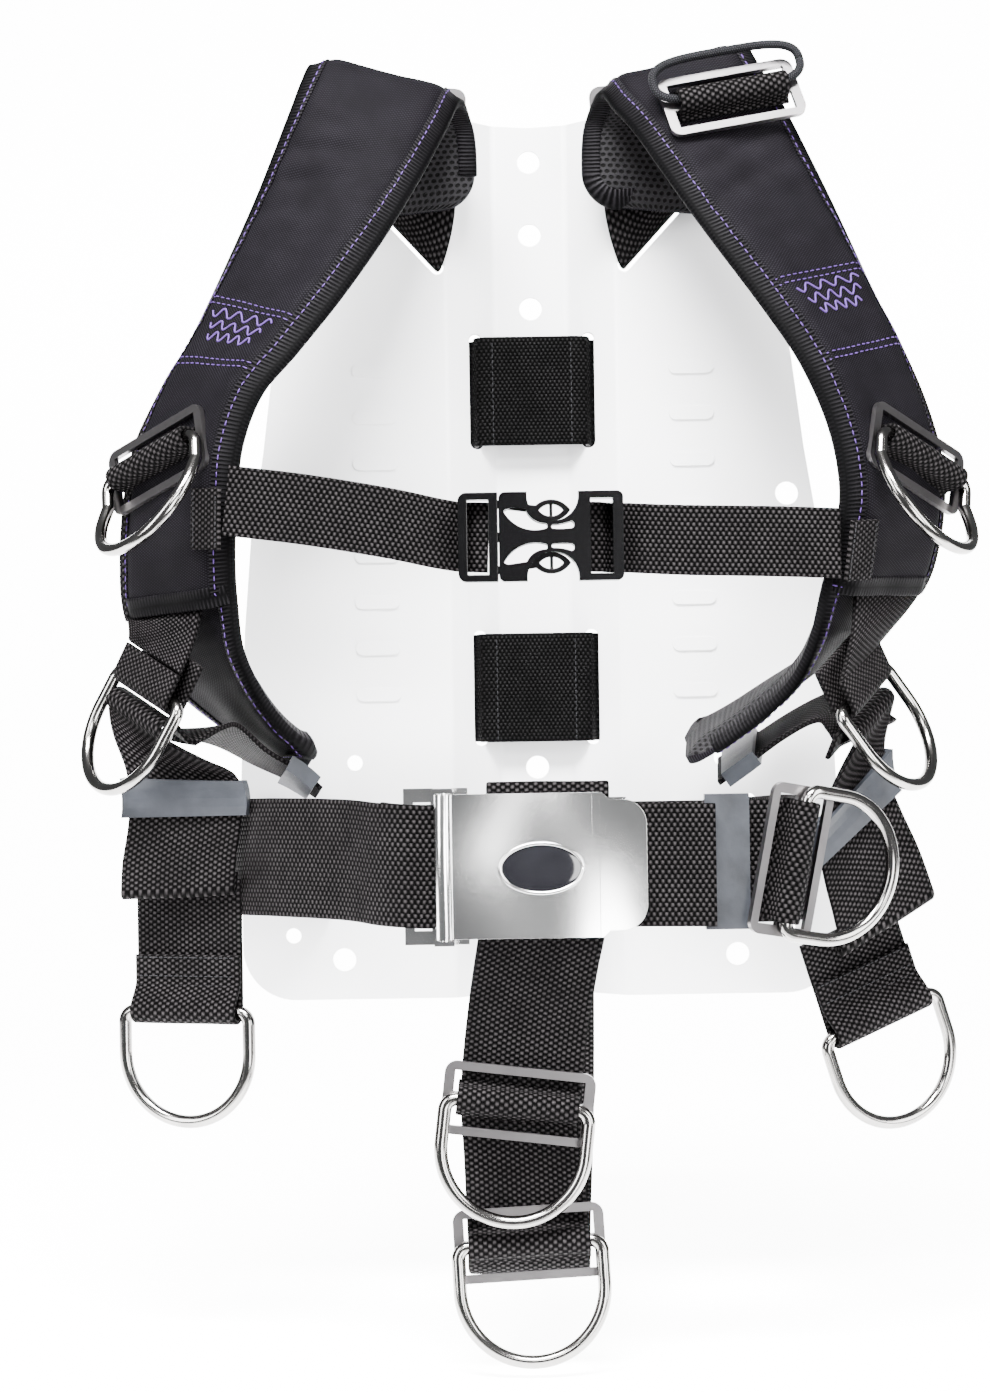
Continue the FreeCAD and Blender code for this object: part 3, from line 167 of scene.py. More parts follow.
def bump(tree, shader, height, distance, strength=1.0):
    node = tree.nodes.new("ShaderNodeBump")
    node.inputs["Distance"].default_value = distance
    node.inputs["Strength"].default_value = strength
    link(tree, height, node.inputs["Height"])
    link(tree, node.outputs["Normal"], shader.inputs["Normal"])


def marked_material(name, dark, light, rough_low, rough_high, metallic, patch, scratch, depth,
                    specular=0.5):
    """Hard surface whose colour and roughness change with handling marks."""
    material, tree, shader = start_material(name, light, rough_high, metallic, specular)
    marks = place_group(tree, marks_group, place=object_place(tree), patch_size=patch, scratch_size=scratch)
    link(tree, tint(tree, marks["Mark"], dark, light), shader.inputs["Base Color"])
    link(tree, spread(tree, marks["Scratch"], rough_low, rough_high), shader.inputs["Roughness"])
    bump(tree, shader, marks["Scratch"], depth, 0.5)
    return material


def paint_cad(material, slot, *names, edge=0.0):
    """Give a CAD piece its finish, and break its sharp edges when a width is given."""
    for name in names:
        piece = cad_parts[name]
        piece.data.materials.clear()
        piece.data.materials.append(material)
        if edge:
            joined = piece.modifiers.new("joined", "WELD")
            joined.merge_threshold = 0.01 * MM
            broken = piece.modifiers.new("broken_edges", "BEVEL")
            broken.width = edge
            broken.segments = 3
            broken.limit_method = "ANGLE"
            broken.angle_limit = math.radians(40)
            broken.use_clamp_overlap = True


plate_paint = marked_material("pale_powder_coat", (0.80, 0.80, 0.815), (0.90, 0.90, 0.91),
                              0.28, 0.45, 0.0, 120 * MM, 4 * MM, 0.03 * MM)
paint_cad(plate_paint, "painted_plate", "backplate", edge=0.5 * MM)

# ---------------------------------------------------------------- tank bands
# Two 50 mm webbing bands that go through the plate's slots and round the tank. Polyester webbing, woven
# in ribs like a fine basket, with slightly rounded edges; it is threaded through the plate and its buckle.

WEBBING_WIDE = 50 * MM
WEBBING_THICK = 2.2 * MM


def mix(before, start, finish, after, share):
    """Point at a share of the way from start to finish on a curve that also heeds its neighbours."""
    entries = []
    for p, q, r, t in zip(before, start, finish, after):
        linear = (r - p) * share
        square = (2 * p - 5 * q + 4 * r - t) * share ** 2
        cube = (3 * q - p - 3 * r + t) * share ** 3
        entries.append(0.5 * (2 * q + linear + square + cube))
    return tuple(entries)


def frames_of(run):
    """Centre, width direction and outward normal at every x, y, z, lean, yaw and shift of a run."""
    centres = [Vector(station[:3]) * MM for station in run]
    frames = []
    for number, station in enumerate(run):
        ahead = centres[min(number + 1, len(run) - 1)]
        behind = centres[max(number - 1, 0)]
        lean = math.radians(station[3])
        yaw = math.radians(station[4])
        across = Vector((math.cos(lean) * math.cos(yaw), math.sin(yaw), math.sin(lean) * math.cos(yaw)))
        normal = (ahead - behind).cross(across).normalized()
        frames.append((centres[number] + across * station[5] * MM, across, normal))
    return frames


def flow(stations, steps=9):
    """Smooth frames along stations in millimetres and degrees: x, y, z, lean, yaw and a sideways shift."""
    whole = [tuple(station) + (0,) * (6 - len(station)) for station in stations]
    rows = [whole[0]] + whole + [whole[-1]]
    run = []
    for number in range(1, len(rows) - 2):
        for step in range(steps):
            run.append(mix(*rows[number - 1:number + 3], step / steps))
    run.append(whole[-1])
    return frames_of(run)


def lengths_along(frames):
    """Distance from the start to every frame."""
    lengths = [0.0]
    for one, two in zip(frames, frames[1:]):
        lengths.append(lengths[-1] + (two[0] - one[0]).length)
    return lengths


def show(name, mesh, material):
    """Put a finished mesh into the scene in its material."""
    mesh.materials.append(material)
    piece = bpy.data.objects.new(name, mesh)
    bpy.context.scene.collection.objects.link(piece)
    return piece


def skin(name, rows, across, along, material):
    """Closed quad surface over rows of points; the UV map counts metres across and along."""
    count = len(rows[0])
    mesh = bpy.data.meshes.new(name)
    points = [point for row in rows for point in row]
    faces = []
    places = []
    for line in range(len(rows) - 1):
        for column in range(count):
            following = (column + 1) % count
            faces.append((line * count + column, line * count + following,
                          (line + 1) * count + following, (line + 1) * count + column))
            places += [(across[column], along[line]), (across[column + 1], along[line]),
                       (across[column + 1], along[line + 1]), (across[column], along[line + 1])]
    last = (len(rows) - 1) * count
    faces.append(tuple(reversed(range(count))))
    places += [(across[column], along[0]) for column in reversed(range(count))]
    faces.append(tuple(range(last, last + count)))
    places += [(across[column], along[-1]) for column in range(count)]
    mesh.from_pydata(points, [], faces)
    layer = mesh.uv_layers.new(name="UVMap")
    for loop, place in zip(layer.data, places):
        loop.uv = place
    shaped = bmesh.new()
    shaped.from_mesh(mesh)
    bmesh.ops.recalc_face_normals(shaped, faces=shaped.faces)
    shaped.to_mesh(mesh)
    shaped.free()
    mesh.polygons.foreach_set("use_smooth", [len(face.vertices) == 4 for face in mesh.polygons])
    return show(name, mesh, material)


def strap_profile(wide, thick):
    """Cross-section of webbing: a flat band with rounded edges, as distances across and up."""
    round_by = thick / 2
    half = wide / 2 - round_by
    turns = [math.radians(angle) for angle in (60, 25, -25, -60)]
    top = [(-half + 2 * half * step / 10, round_by) for step in range(11)]
    right = [(half + round_by * math.cos(turn), round_by * math.sin(turn)) for turn in turns]
    bottom = [(-across, -up) for across, up in top]
    left = [(-across, -up) for across, up in right]
    return top + right + bottom + left


def strap(name, frames, wide=WEBBING_WIDE, thick=WEBBING_THICK, rise=0.0, ripple=0.25 * MM, seed=0.0,
          gathers=None, material=None):
    """Length of webbing along frames, uneven as used cloth is; gathers are (lowest z, highest z, depth)."""
    profile = strap_profile(wide, thick)
    along = lengths_along(frames)
    rows = []
    for (centre, across, normal), distance in zip(frames, along):
        row = []
        for out, up in profile:
            wave = noise.noise(Vector((distance * 45, out * 30, seed))) * ripple
            if gathers and gathers[0] < centre.z < gathers[1] and normal.y < -0.5:
                middle_share = 1 - abs(2 * (centre.z - gathers[0]) / (gathers[1] - gathers[0]) - 1)
                fold_wave = math.sin(distance * 420 + 2 * noise.noise(Vector((distance * 30, out * 50, 3))))
                wave += gathers[2] * fold_wave * min(1.0, 3 * middle_share)
            row.append(centre + across * out + normal * (rise + up + wave))
        rows.append(row)
    positions = [out for out, up in profile] + [profile[0][0]]
    return skin(name, rows, positions, along, material or webbing_black)


def make_woven_group():
    """Basket weave: staggered rounded cells, with height, and a highlight where the yarns crown."""
    inputs = [("Place", "NodeSocketVector", None), ("Cell along", "NodeSocketFloat", 0.0021),
              ("Cell across", "NodeSocketFloat", 0.0018), ("Unevenness", "NodeSocketFloat", 0.25)]
    tree, given, made = start_group("woven_cells", inputs, ["Height", "Highlight"])
    parted = tree.nodes.new("ShaderNodeSeparateXYZ")
    link(tree, given["Place"], parted.inputs[0])
    wobble = tree.nodes.new("ShaderNodeTexNoise")
    link(tree, given["Place"], wobble.inputs["Vector"])
    wobble.inputs["Scale"].default_value = 700.0
    centred = maths(tree, "SUBTRACT", wobble.outputs["Fac"], 0.5)
    shift = maths(tree, "MULTIPLY", centred, given["Unevenness"])
    column = maths(tree, "DIVIDE", parted.outputs["X"], given["Cell across"])
    stagger = maths(tree, "MULTIPLY", maths(tree, "FLOORED_MODULO", maths(tree, "FLOOR", column), 2.0), 0.5)
    row = maths(tree, "ADD", maths(tree, "DIVIDE", parted.outputs["Y"], given["Cell along"]), stagger)
    row = maths(tree, "ADD", row, shift)
    crown_across = maths(tree, "SINE", maths(tree, "MULTIPLY", maths(tree, "FRACT", column), math.pi))
    crown_along = maths(tree, "SINE", maths(tree, "MULTIPLY", maths(tree, "FRACT", row), math.pi))
    height = maths(tree, "POWER", maths(tree, "MULTIPLY", crown_across, crown_along), 0.7)
    blunt = maths(tree, "POWER", crown_across, 0.8)
    sharp = maths(tree, "POWER", crown_along, 4.0)
    crown = maths(tree, "MULTIPLY", blunt, sharp)
    cloud = tree.nodes.new("ShaderNodeTexNoise")
    link(tree, given["Place"], cloud.inputs["Vector"])
    cloud.inputs["Scale"].default_value = 60.0
    link(tree, height, made["Height"])
    # A random cloud makes the painted highlight on the yarn crowns stronger in some places and weaker in
    # others.
    highlight_strength = spread(tree, cloud.outputs["Fac"], 0.35, 1.3)
    link(tree, maths(tree, "MULTIPLY", crown, highlight_strength), made["Highlight"])
    return tree


woven_group = make_woven_group()


def woven_material(name, dark, light, cell_along, cell_across, depth, roughness, specular=0.02):
    """Woven fabric that takes its weave from the UV map's metres."""
    material, tree, shader = start_material(name, dark, roughness, 0.0, specular)
    place = tree.nodes.new("ShaderNodeUVMap").outputs["UV"]
    weave = place_group(tree, woven_group, place=place, cell_along=cell_along, cell_across=cell_across)
    # The base colour lightens where the yarns crown: a painted highlight.
    link(tree, tint(tree, weave["Highlight"], dark, light), shader.inputs["Base Color"])
    link(tree, spread(tree, weave["Highlight"], roughness, roughness - 0.2), shader.inputs["Roughness"])
    bump(tree, shader, weave["Height"], depth)
    return material


webbing_black = woven_material("ribbed_webbing", (0.0002, 0.0002, 0.0002), (0.029, 0.0265, 0.0275),
                               2.5 * MM, 1.9 * MM, 0.6 * MM, 0.75)
band_black = woven_material("band_webbing_cloth", (0.0001, 0.0001, 0.0001), (0.009, 0.0088, 0.009),
                            2.0 * MM, 1.6 * MM, 0.5 * MM, 0.75)


def threaded(piece, body, *nodes, slot="black_webbing"):
    """Put a finished soft piece on its body in place of the plain solids that stood for it."""
    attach(piece, body)
    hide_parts(*nodes)
    return piece


TANK_RADIUS = 88.0
BAND_SLOT_OUT = 25.7
BAND_GAP = 1.5
BAND_FRONT = -12.2
BAND_OPENING = 21
BAND_STEPS = 60


def band_frames(height):
    """Path of a band in plan: round the tank, through both slots and across the crown."""
    centre = TANK_RADIUS + BAND_GAP
    meeting = 270 - math.degrees(math.asin((BAND_SLOT_OUT + BAND_GAP) / TANK_RADIUS))
    sweep = meeting - BAND_OPENING
    half = []
    closing = []
    for step in range(BAND_STEPS + 1):
        angle = math.radians(BAND_OPENING + sweep * step / BAND_STEPS)
        half.append((TANK_RADIUS * math.cos(angle), centre + TANK_RADIUS * math.sin(angle)))
        angle = math.radians(540 - meeting + (sweep + 2 * BAND_OPENING - 180) * step / BAND_STEPS)
        closing.append((TANK_RADIUS * math.cos(angle), centre + TANK_RADIUS * math.sin(angle)))
    corner = [(-BAND_SLOT_OUT, BAND_GAP), (-BAND_SLOT_OUT, BAND_FRONT + 4.5),
              (1.3 - BAND_SLOT_OUT, BAND_FRONT + 1.3), (4.5 - BAND_SLOT_OUT, BAND_FRONT)]
    crown = [(across, BAND_FRONT) for across in range(-18, 19, 4)]
    other_corner = [(-across, along) for across, along in reversed(corner)]
    plan = half + corner + crown + other_corner + closing
    return frames_of([(across, along, height, 90, 0, 0) for across, along in plan])


BEAD_RINGS = ((-0.5, 0.35), (-0.3, 1.0), (0.3, 1.0), (0.5, 0.35))
BEAD_SIDES = 6


def add_bead(points, faces, middle, along, lift, dash, thick):
    """One stitch: a short bead of thread, thinner at both ends."""
    side = along.cross(lift).normalized()
    first = len(points)
    for ahead, girth in BEAD_RINGS:
        for turn in range(BEAD_SIDES):
            angle = math.radians(360 / BEAD_SIDES * turn)
            ring = side * math.cos(angle) + lift * math.sin(angle)
            points.append(middle + along * ahead * dash + ring * thick * girth)
    for ring_number in range(len(BEAD_RINGS) - 1):
        low = first + ring_number * BEAD_SIDES
        high = low + BEAD_SIDES
        for turn in range(BEAD_SIDES):
            following = (turn + 1) % BEAD_SIDES
            faces.append((low + turn, low + following, high + following, high + turn))
    last = len(points) - BEAD_SIDES
    faces.append(tuple(first + turn for turn in reversed(range(BEAD_SIDES))))
    faces.append(tuple(last + turn for turn in range(BEAD_SIDES)))


def stitch_run(name, path, up, material, pitch=3.7 * MM, dash=2.3 * MM, thick=0.27 * MM):
    """Row of thread stitches along a path; each is a short rounded bead that lies on the cloth."""
    points = []
    faces = []
    travelled = 0.0
    due = 0.0
    for place in range(len(path) - 1):
        start, finish = path[place], path[place + 1]
        step = (finish - start).length
        while step > 1e-9 and due <= travelled + step:
            share = (due - travelled) / step
            middle = start.lerp(finish, share)
            along = (finish - start).normalized()
            lift = up[place].lerp(up[place + 1], share).normalized()
            add_bead(points, faces, middle, along, lift, dash, thick)
            due += pitch
        travelled += step
    mesh = bpy.data.meshes.new(name)
    mesh.from_pydata(points, [], faces)
    mesh.polygons.foreach_set("use_smooth", [True] * len(mesh.polygons))
    return show(name, mesh, material)


def thread_material(name, dark, light):
    """Twisted sewing thread."""
    material, tree, shader = start_material(name, light, 0.6, specular=0.15)
    twist = tree.nodes.new("ShaderNodeTexNoise")
    twist.inputs["Scale"].default_value = 2500.0
    link(tree, object_place(tree), twist.inputs["Vector"])
    link(tree, tint(tree, twist.outputs["Fac"], dark, light), shader.inputs["Base Color"])
    bump(tree, shader, twist.outputs["Fac"], 0.1 * MM, 0.5)
    return material


def sew(name, body, path, outward, pitch, dash):
    """Straight seam in black thread on a body's webbing."""
    seam = stitch_run(name, path, [outward] * len(path), black_thread, pitch, dash)
    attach(seam, body)


black_thread = thread_material("black_thread", (0.002, 0.002, 0.0025), (0.014, 0.014, 0.016))
satin_steel = marked_material("satin_steel", (0.10, 0.095, 0.098), (0.19, 0.182, 0.185),
                              0.24, 0.4, 1.0, 20 * MM, 1.2 * MM, 0.02 * MM)
lever_plastic = marked_material("lever_plastic", (0.004, 0.004, 0.0045), (0.01, 0.01, 0.011),
                                0.3, 0.5, 0.0, 20 * MM, 1 * MM, 0.03 * MM)
BAND_SEAM_HALF = 23 * MM
for name in ("upper", "lower"):
    low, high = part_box(name + "_tank_band")
    band = band_frames((low.z + high.z) / 2 / MM)
    tank_band = strap(name + "_band_webbing", band, material=band_black)
    threaded(tank_band, "root", name + "_tank_band")
    crossing = [number for number, entry in enumerate(band) if abs(entry[0].x) < 20 * MM and entry[0].y < 0]
    for side, where in (("first", crossing[0]), ("last", crossing[-1])):
        centre, across, normal = band[where]
        outward = Vector((0, -1, 0))
        path = [centre + across * reach + outward * WEBBING_THICK / 2
                for reach in (-BAND_SEAM_HALF, BAND_SEAM_HALF)]
        sew(name + "_band_seam_" + side, "root", path, outward, 2.6 * MM, 1.8 * MM)
    paint_cad(satin_steel, "brushed_steel", name + "_band_buckle", name + "_band_pin")
    paint_cad(lever_plastic, "black_acetal", name + "_band_lever")

# ---------------------------------------------------------------- shoulder pads
# Foam core with open-hole spacer mesh against the diver and a coarse nylon skin in front, which is a
# sleeve for the webbing. The edges are pinched into a folded grosgrain binding and sewn with violet thread.

PAD_WIDE = 67 * MM
PAD_DEEP = 9 * MM
SLEEVE_HIGH = 4.6 * MM
RIM_DROP = 1.2 * MM
RIM_BACK = 4.2 * MM
PAD_CORNER = 15 * MM
BINDING_WIDE = 7.4 * MM
SLEEVE_START = 3
SLEEVE_END = 13
PAD_STEPS = 9
FOLDED_HEIGHT = 0.118
FOLDED_REACH = 48 * MM
FOLD_PITCH = 15 * MM
FOLD_DEEP = 1.9 * MM

BACK_OF_PAD = [(-58, -34, 111, 5, 0), (-58, -33, 136, 3, 0), (-60, -37, 157, -5, 4)]
RIGHT_PAD = BACK_OF_PAD + [
    (-63, -54, 169, -13, 5), (-69, -67, 156, -20, -5), (-77, -77, 138, -24, -15),
    (-92, -88, 107, -22, -27), (-109, -96, 77, -22, -37), (-126, -100, 50, -17, -45),
    (-141, -102, 28, -8, -48), (-151, -103, 4, -5, -46), (-155, -103, -20, -4, -43),
    (-157, -100, -45, 0, -42), (-156, -95, -68, 6, -43), (-148, -88, -92, 15, -55),
    (-132, -80, -113, 28, -68), (-116, -72, -127, 38, -77), (-102, -66, -136, 45, -80),
]


def mirrored(stations):
    return [(-x, y, z, -lean, -yaw) for x, y, z, lean, yaw in stations]


LEFT_PAD = mirrored(BACK_OF_PAD) + [
    (64, -55, 172, 14, -6), (70, -66, 162, 13, 2), (79, -74, 148, 11, 10),
    (93, -84, 122, 10, 20), (108, -92, 95, 13, 31), (124, -97, 67, 16, 41),
    (138, -101, 41, 17, 46), (150, -102, 10, 12, 47), (155, -103, -18, 12, 45),
    (152, -101, -44, 5, 44), (146, -97, -64, 2, 48), (134, -90, -84, 10, 62),
    (119, -82, -100, 30, 72), (101, -77, -113, 50, 76), (83, -76, -125, 60, 78), (66, -76, -134, 70, 78),
]
PAD_STATIONS = {"right": RIGHT_PAD, "left": LEFT_PAD}


def smooth_step(share):
    share = min(max(share, 0.0), 1.0)
    return share * share * (3 - 2 * share)


class Cloth:
    """A strap's surface as a flat cloth: spot() turns metres across, along and above into a place."""

    def __init__(self, frames, wide, corner):
        self.frames = frames
        self.lengths = lengths_along(frames)
        self.long = self.lengths[-1]
        self.half = wide / 2
        self.corner = corner

    def frame_at(self, along):
        """Centre, width direction and normal at a distance, also a little before and past the ends."""
        number = 1
        while number < len(self.lengths) - 1 and self.lengths[number] < along:
            number += 1
        start, finish = self.frames[number - 1], self.frames[number]
        share = (along - self.lengths[number - 1]) / (self.lengths[number] - self.lengths[number - 1])
        inside = min(max(share, 0.0), 1.0)
        return (start[0] + (finish[0] - start[0]) * share, start[1].lerp(finish[1], inside),
                start[2].lerp(finish[2], inside).normalized())

    def spot(self, across, along, above):
        centre, wide, normal = self.frame_at(along)
        return centre + wide * across + normal * above

    def half_at(self, along):
        """Half width, drawn in at the rounded ends."""
        near = min(along, self.long - along)
        if near >= self.corner:
            return self.half
        drop = self.corner - max(near, 0.0)
        return self.half - self.corner + math.sqrt(max(self.corner ** 2 - drop ** 2, 0.0))

    def inside(self, across, along):
        """Distance in from the outline."""
        return min(self.half - abs(across), along + 2 * MM, self.long - along + 2 * MM)

    def outline(self, inset=0.0):
        """Rounded outline of the cloth, moved in, as places across and along with the way outward."""
        half = self.half - inset
        turn = self.corner - inset
        points = []
        straight = [inset + turn + (self.long - 2 * (inset + turn)) * step / 90 for step in range(91)]
        for along in straight:
            points.append((half, along, 1.0, 0.0))
        for angle in range(8, 90, 8):
            side, ahead = math.cos(math.radians(angle)), math.sin(math.radians(angle))
            points.append((half - turn + turn * side, straight[-1] + turn * ahead, side, ahead))
        around = [(-across, self.long - along, -side, -ahead) for across, along, side, ahead in points]
        return points + around


def height_along(cloth, height):
    """Distance along the front of a pad where its middle comes down to a height."""
    crest = max(range(len(cloth.frames)), key=lambda number: cloth.frames[number][0].z)
    for number in range(crest, len(cloth.frames)):
        if cloth.frames[number][0].z < height:
            return cloth.lengths[number]
    return cloth.long


def pad_front(cloth, across, along, covered):
    """Height of the pad's front: crowned over the webbing where the sleeve covers it."""
    start, finish = covered
    crown = smooth_step((along - start + 8 * MM) / (16 * MM)) * smooth_step((finish - along) / (6 * MM))
    edge = -RIM_DROP
    rim = smooth_step(cloth.inside(across, along) / (11 * MM))
    wave = noise.noise(Vector((across * 60, along * 22, cloth.seed))) * 1.1 * MM
    fine = noise.noise(Vector((across * 30, along * 130, cloth.seed + 5))) * 0.8 * MM
    slant = along - cloth.folded + across * 0.35
    unevenness = 1 + noise.noise(Vector((across * 25, slant * 30, 2)))
    strength = smooth_step(1 - abs(slant) / FOLDED_REACH) * unevenness
    fold_wave = 1 - abs(math.sin(math.pi * slant / FOLD_PITCH))
    swell = (SLEEVE_HIGH - edge) * crown
    return edge + (-edge + swell + wave + fine - FOLD_DEEP * strength * fold_wave) * rim


def pad_back(cloth, across, along):
    """Height of the pad's mesh back: nearly flat, and drawn up to the binding at the rim."""
    rim = smooth_step(cloth.inside(across, along) / (13 * MM))
    wave = noise.noise(Vector((across * 25, along * 25, cloth.seed + 9))) * 0.8 * MM
    return -RIM_BACK - (PAD_DEEP - RIM_BACK + wave) * rim


PAD_COLUMNS = [-1, -0.965, -0.92, -0.86, -0.79, -0.7, -0.58, -0.44, -0.3, -0.15, 0,
               0.15, 0.3, 0.44, 0.58, 0.7, 0.79, 0.86, 0.92, 0.965, 1]


def pad_rows(cloth):
    """Distances along at which the pad is shaped: closer together at its rounded ends."""
    ends = [0.0, 0.6 * MM, 2 * MM, 4 * MM, 7 * MM, 10.5 * MM]
    count = int(cloth.long / (3.2 * MM))
    middle = [15 * MM + (cloth.long - 30 * MM) * step / count for step in range(count + 1)]
    return ends + middle + [cloth.long - along for along in reversed(ends)]


def make_mesh_side(name, cloth, covered):
    """The padded body: its front, its rim and its mesh back in one closed skin."""
    rows = []
    along_rows = pad_rows(cloth)
    count = len(PAD_COLUMNS)
    for along in along_rows:
        half = cloth.half_at(along)
        front = [cloth.spot(share * half, along, pad_front(cloth, share * half, along, covered))
                 for share in PAD_COLUMNS]
        back = [cloth.spot(share * half, along, pad_back(cloth, share * half, along))
                for share in reversed(PAD_COLUMNS)]
        rows.append(front + back)
    widths = [share * cloth.half for share in PAD_COLUMNS]
    positions = widths + list(reversed(widths)) + widths[:1]
    piece = skin(name, rows, positions, along_rows, skin_nylon)
    piece.data.materials.append(spacer_mesh)
    for face in piece.data.polygons:
        columns = [corner % (2 * count) for corner in face.vertices]
        if min(columns) >= count:
            face.material_index = 1
    rounded = piece.modifiers.new("rounded", "SUBSURF")
    rounded.levels = 1
    rounded.render_levels = 1
    return piece


def folded_binding(name, cloth, covered):
    """Grosgrain tape folded over the pad's whole edge."""
    profile = [(-BINDING_WIDE, 0.25, 1), (-BINDING_WIDE * 0.97, 0.75, 1), (-BINDING_WIDE * 0.5, 0.95, 1),
               (-1.2 * MM, 0.95, 1), (0.5 * MM, 0.3, 1), (0.9 * MM, -1.2, 1),
               (0.9 * MM, 1.2, -1), (0.5 * MM, -0.3, -1), (-1.2 * MM, -0.95, -1),
               (-BINDING_WIDE * 0.5, -0.95, -1), (-BINDING_WIDE * 0.97, -0.75, -1),
               (-BINDING_WIDE, -0.25, -1),
               (-BINDING_WIDE + 1 * MM, 1.0, -1), (-BINDING_WIDE + 1 * MM, -1.0, 1)]
    rows = []
    for across, along, side, ahead in cloth.outline():
        row = []
        for reach, rise, face in profile:
            at_across = across + side * reach
            at_along = along + ahead * reach
            if face > 0:
                level = pad_front(cloth, at_across, at_along, covered)
            else:
                level = pad_back(cloth, at_across, at_along)
            row.append(cloth.spot(at_across, at_along, level + rise * MM))
        rows.append(row)
    rows.append([point.copy() for point in rows[0]])
    travelled = [0.0]
    for one, two in zip(rows, rows[1:]):
        travelled.append(travelled[-1] + (two[0] - one[0]).length)
    distances = [reach if face > 0 else 3 * MM - reach for reach, rise, face in profile]
    return skin(name, rows, distances + distances[:1], travelled, grosgrain)


def outline_stitches(name, cloth, covered, inset, material):
    """Running stitch that follows the outline a little way in, on the front."""
    path = []
    lifts = []
    outline = cloth.outline(inset)
    for across, along, side, ahead in outline + outline[:1]:
        level = pad_front(cloth, across, along, covered) + 1.05 * MM
        path.append(cloth.spot(across, along, level))
        lifts.append(cloth.frame_at(along)[2])
    return stitch_run(name, path, lifts, material)


def row_across(cloth, along, covered, reach, rise=0.15 * MM, tilt=0.0):
    """Path straight across the pad's front, or leaning by a tilt in metres."""
    path = []
    lifts = []
    for step in range(-10, 11):
        across = reach * step / 10
        down = along + tilt * step / 10
        path.append(cloth.spot(across, down, pad_front(cloth, across, down, covered) + rise))
        lifts.append(cloth.frame_at(down)[2])
    return path, lifts


def motif(cloth, along, covered):
    """Three embroidered waves, one under the other."""
    runs = []
    for number in range(3):
        path = []
        lifts = []
        for step in range(49):
            across = (step / 48 - 0.5) * (40 - 6 * number) * MM
            down = along + (number * 5.5 + 2.0 * math.sin(step * math.pi / 6)) * MM
            path.append(cloth.spot(across, down, pad_front(cloth, across, down, covered) + 0.2 * MM))
            lifts.append(cloth.frame_at(down)[2])
        runs.append((path, lifts))
    return runs


def make_holes_group():
    """Staggered round holes of an open mesh: a mask that is 1 in the holes, and the yarn's height."""
    inputs = [("Place", "NodeSocketVector", None), ("Pitch", "NodeSocketFloat", 0.0033),
              ("Hole share", "NodeSocketFloat", 0.3)]
    tree, given, made = start_group("staggered_holes", inputs, ["Hole", "Height"])
    parted = tree.nodes.new("ShaderNodeSeparateXYZ")
    link(tree, given["Place"], parted.inputs[0])
    row = maths(tree, "DIVIDE", parted.outputs["Y"], maths(tree, "MULTIPLY", given["Pitch"], 0.87))
    stagger = maths(tree, "MULTIPLY", maths(tree, "FLOORED_MODULO", maths(tree, "FLOOR", row), 2.0), 0.5)
    column = maths(tree, "ADD", maths(tree, "DIVIDE", parted.outputs["X"], given["Pitch"]), stagger)
    out = maths(tree, "SUBTRACT", maths(tree, "FRACT", column), 0.5)
    up = maths(tree, "SUBTRACT", maths(tree, "FRACT", row), 0.5)
    squares = maths(tree, "ADD", maths(tree, "MULTIPLY", out, out), maths(tree, "MULTIPLY", up, up))
    reach = maths(tree, "SQRT", squares)
    height = tree.nodes.new("ShaderNodeMapRange")
    height.interpolation_type = "SMOOTHSTEP"
    link(tree, reach, height.inputs["Value"])
    link(tree, maths(tree, "SUBTRACT", given["Hole share"], 0.08), height.inputs["From Min"])
    link(tree, maths(tree, "ADD", given["Hole share"], 0.12), height.inputs["From Max"])
    link(tree, height.outputs[0], made["Height"])
    link(tree, maths(tree, "SUBTRACT", 1.0, height.outputs[0]), made["Hole"])
    return tree


def spacer_material():
    """Black open-hole mesh whose holes are painted far darker than its yarn: painted shade in the recesses
    of the holes.
    """
    material, tree, shader = start_material("spacer_mesh", (0.02, 0.02, 0.022), 0.85, specular=0.1)
    place = tree.nodes.new("ShaderNodeUVMap").outputs["UV"]
    holes = place_group(tree, place=place, pitch=3.3 * MM, hole_share=0.3, group=make_holes_group())
    # The colour darkens from the yarn down into each hole: painted shade where the holes are recessed.
    link(tree, tint(tree, holes["Height"], (0.0001, 0.0001, 0.0001), (0.010, 0.0095, 0.0105)),
         shader.inputs["Base Color"])
    bump(tree, shader, holes["Height"], 1.0 * MM)
    return material


skin_nylon = woven_material("coarse_nylon", (0.0005, 0.0004, 0.0006), (0.0110, 0.0100, 0.0130),
                            1.2 * MM, 1.0 * MM, 0.07 * MM, 0.8, 0.03)
grosgrain = woven_material("grosgrain_binding", (0.0006, 0.0006, 0.0007), (0.021, 0.0195, 0.022),
                           1.8 * MM, 40.0 * MM, 0.5 * MM, 0.6)
spacer_mesh = spacer_material()
violet_thread = thread_material("violet_thread", (0.025, 0.011, 0.065), (0.085, 0.040, 0.19))

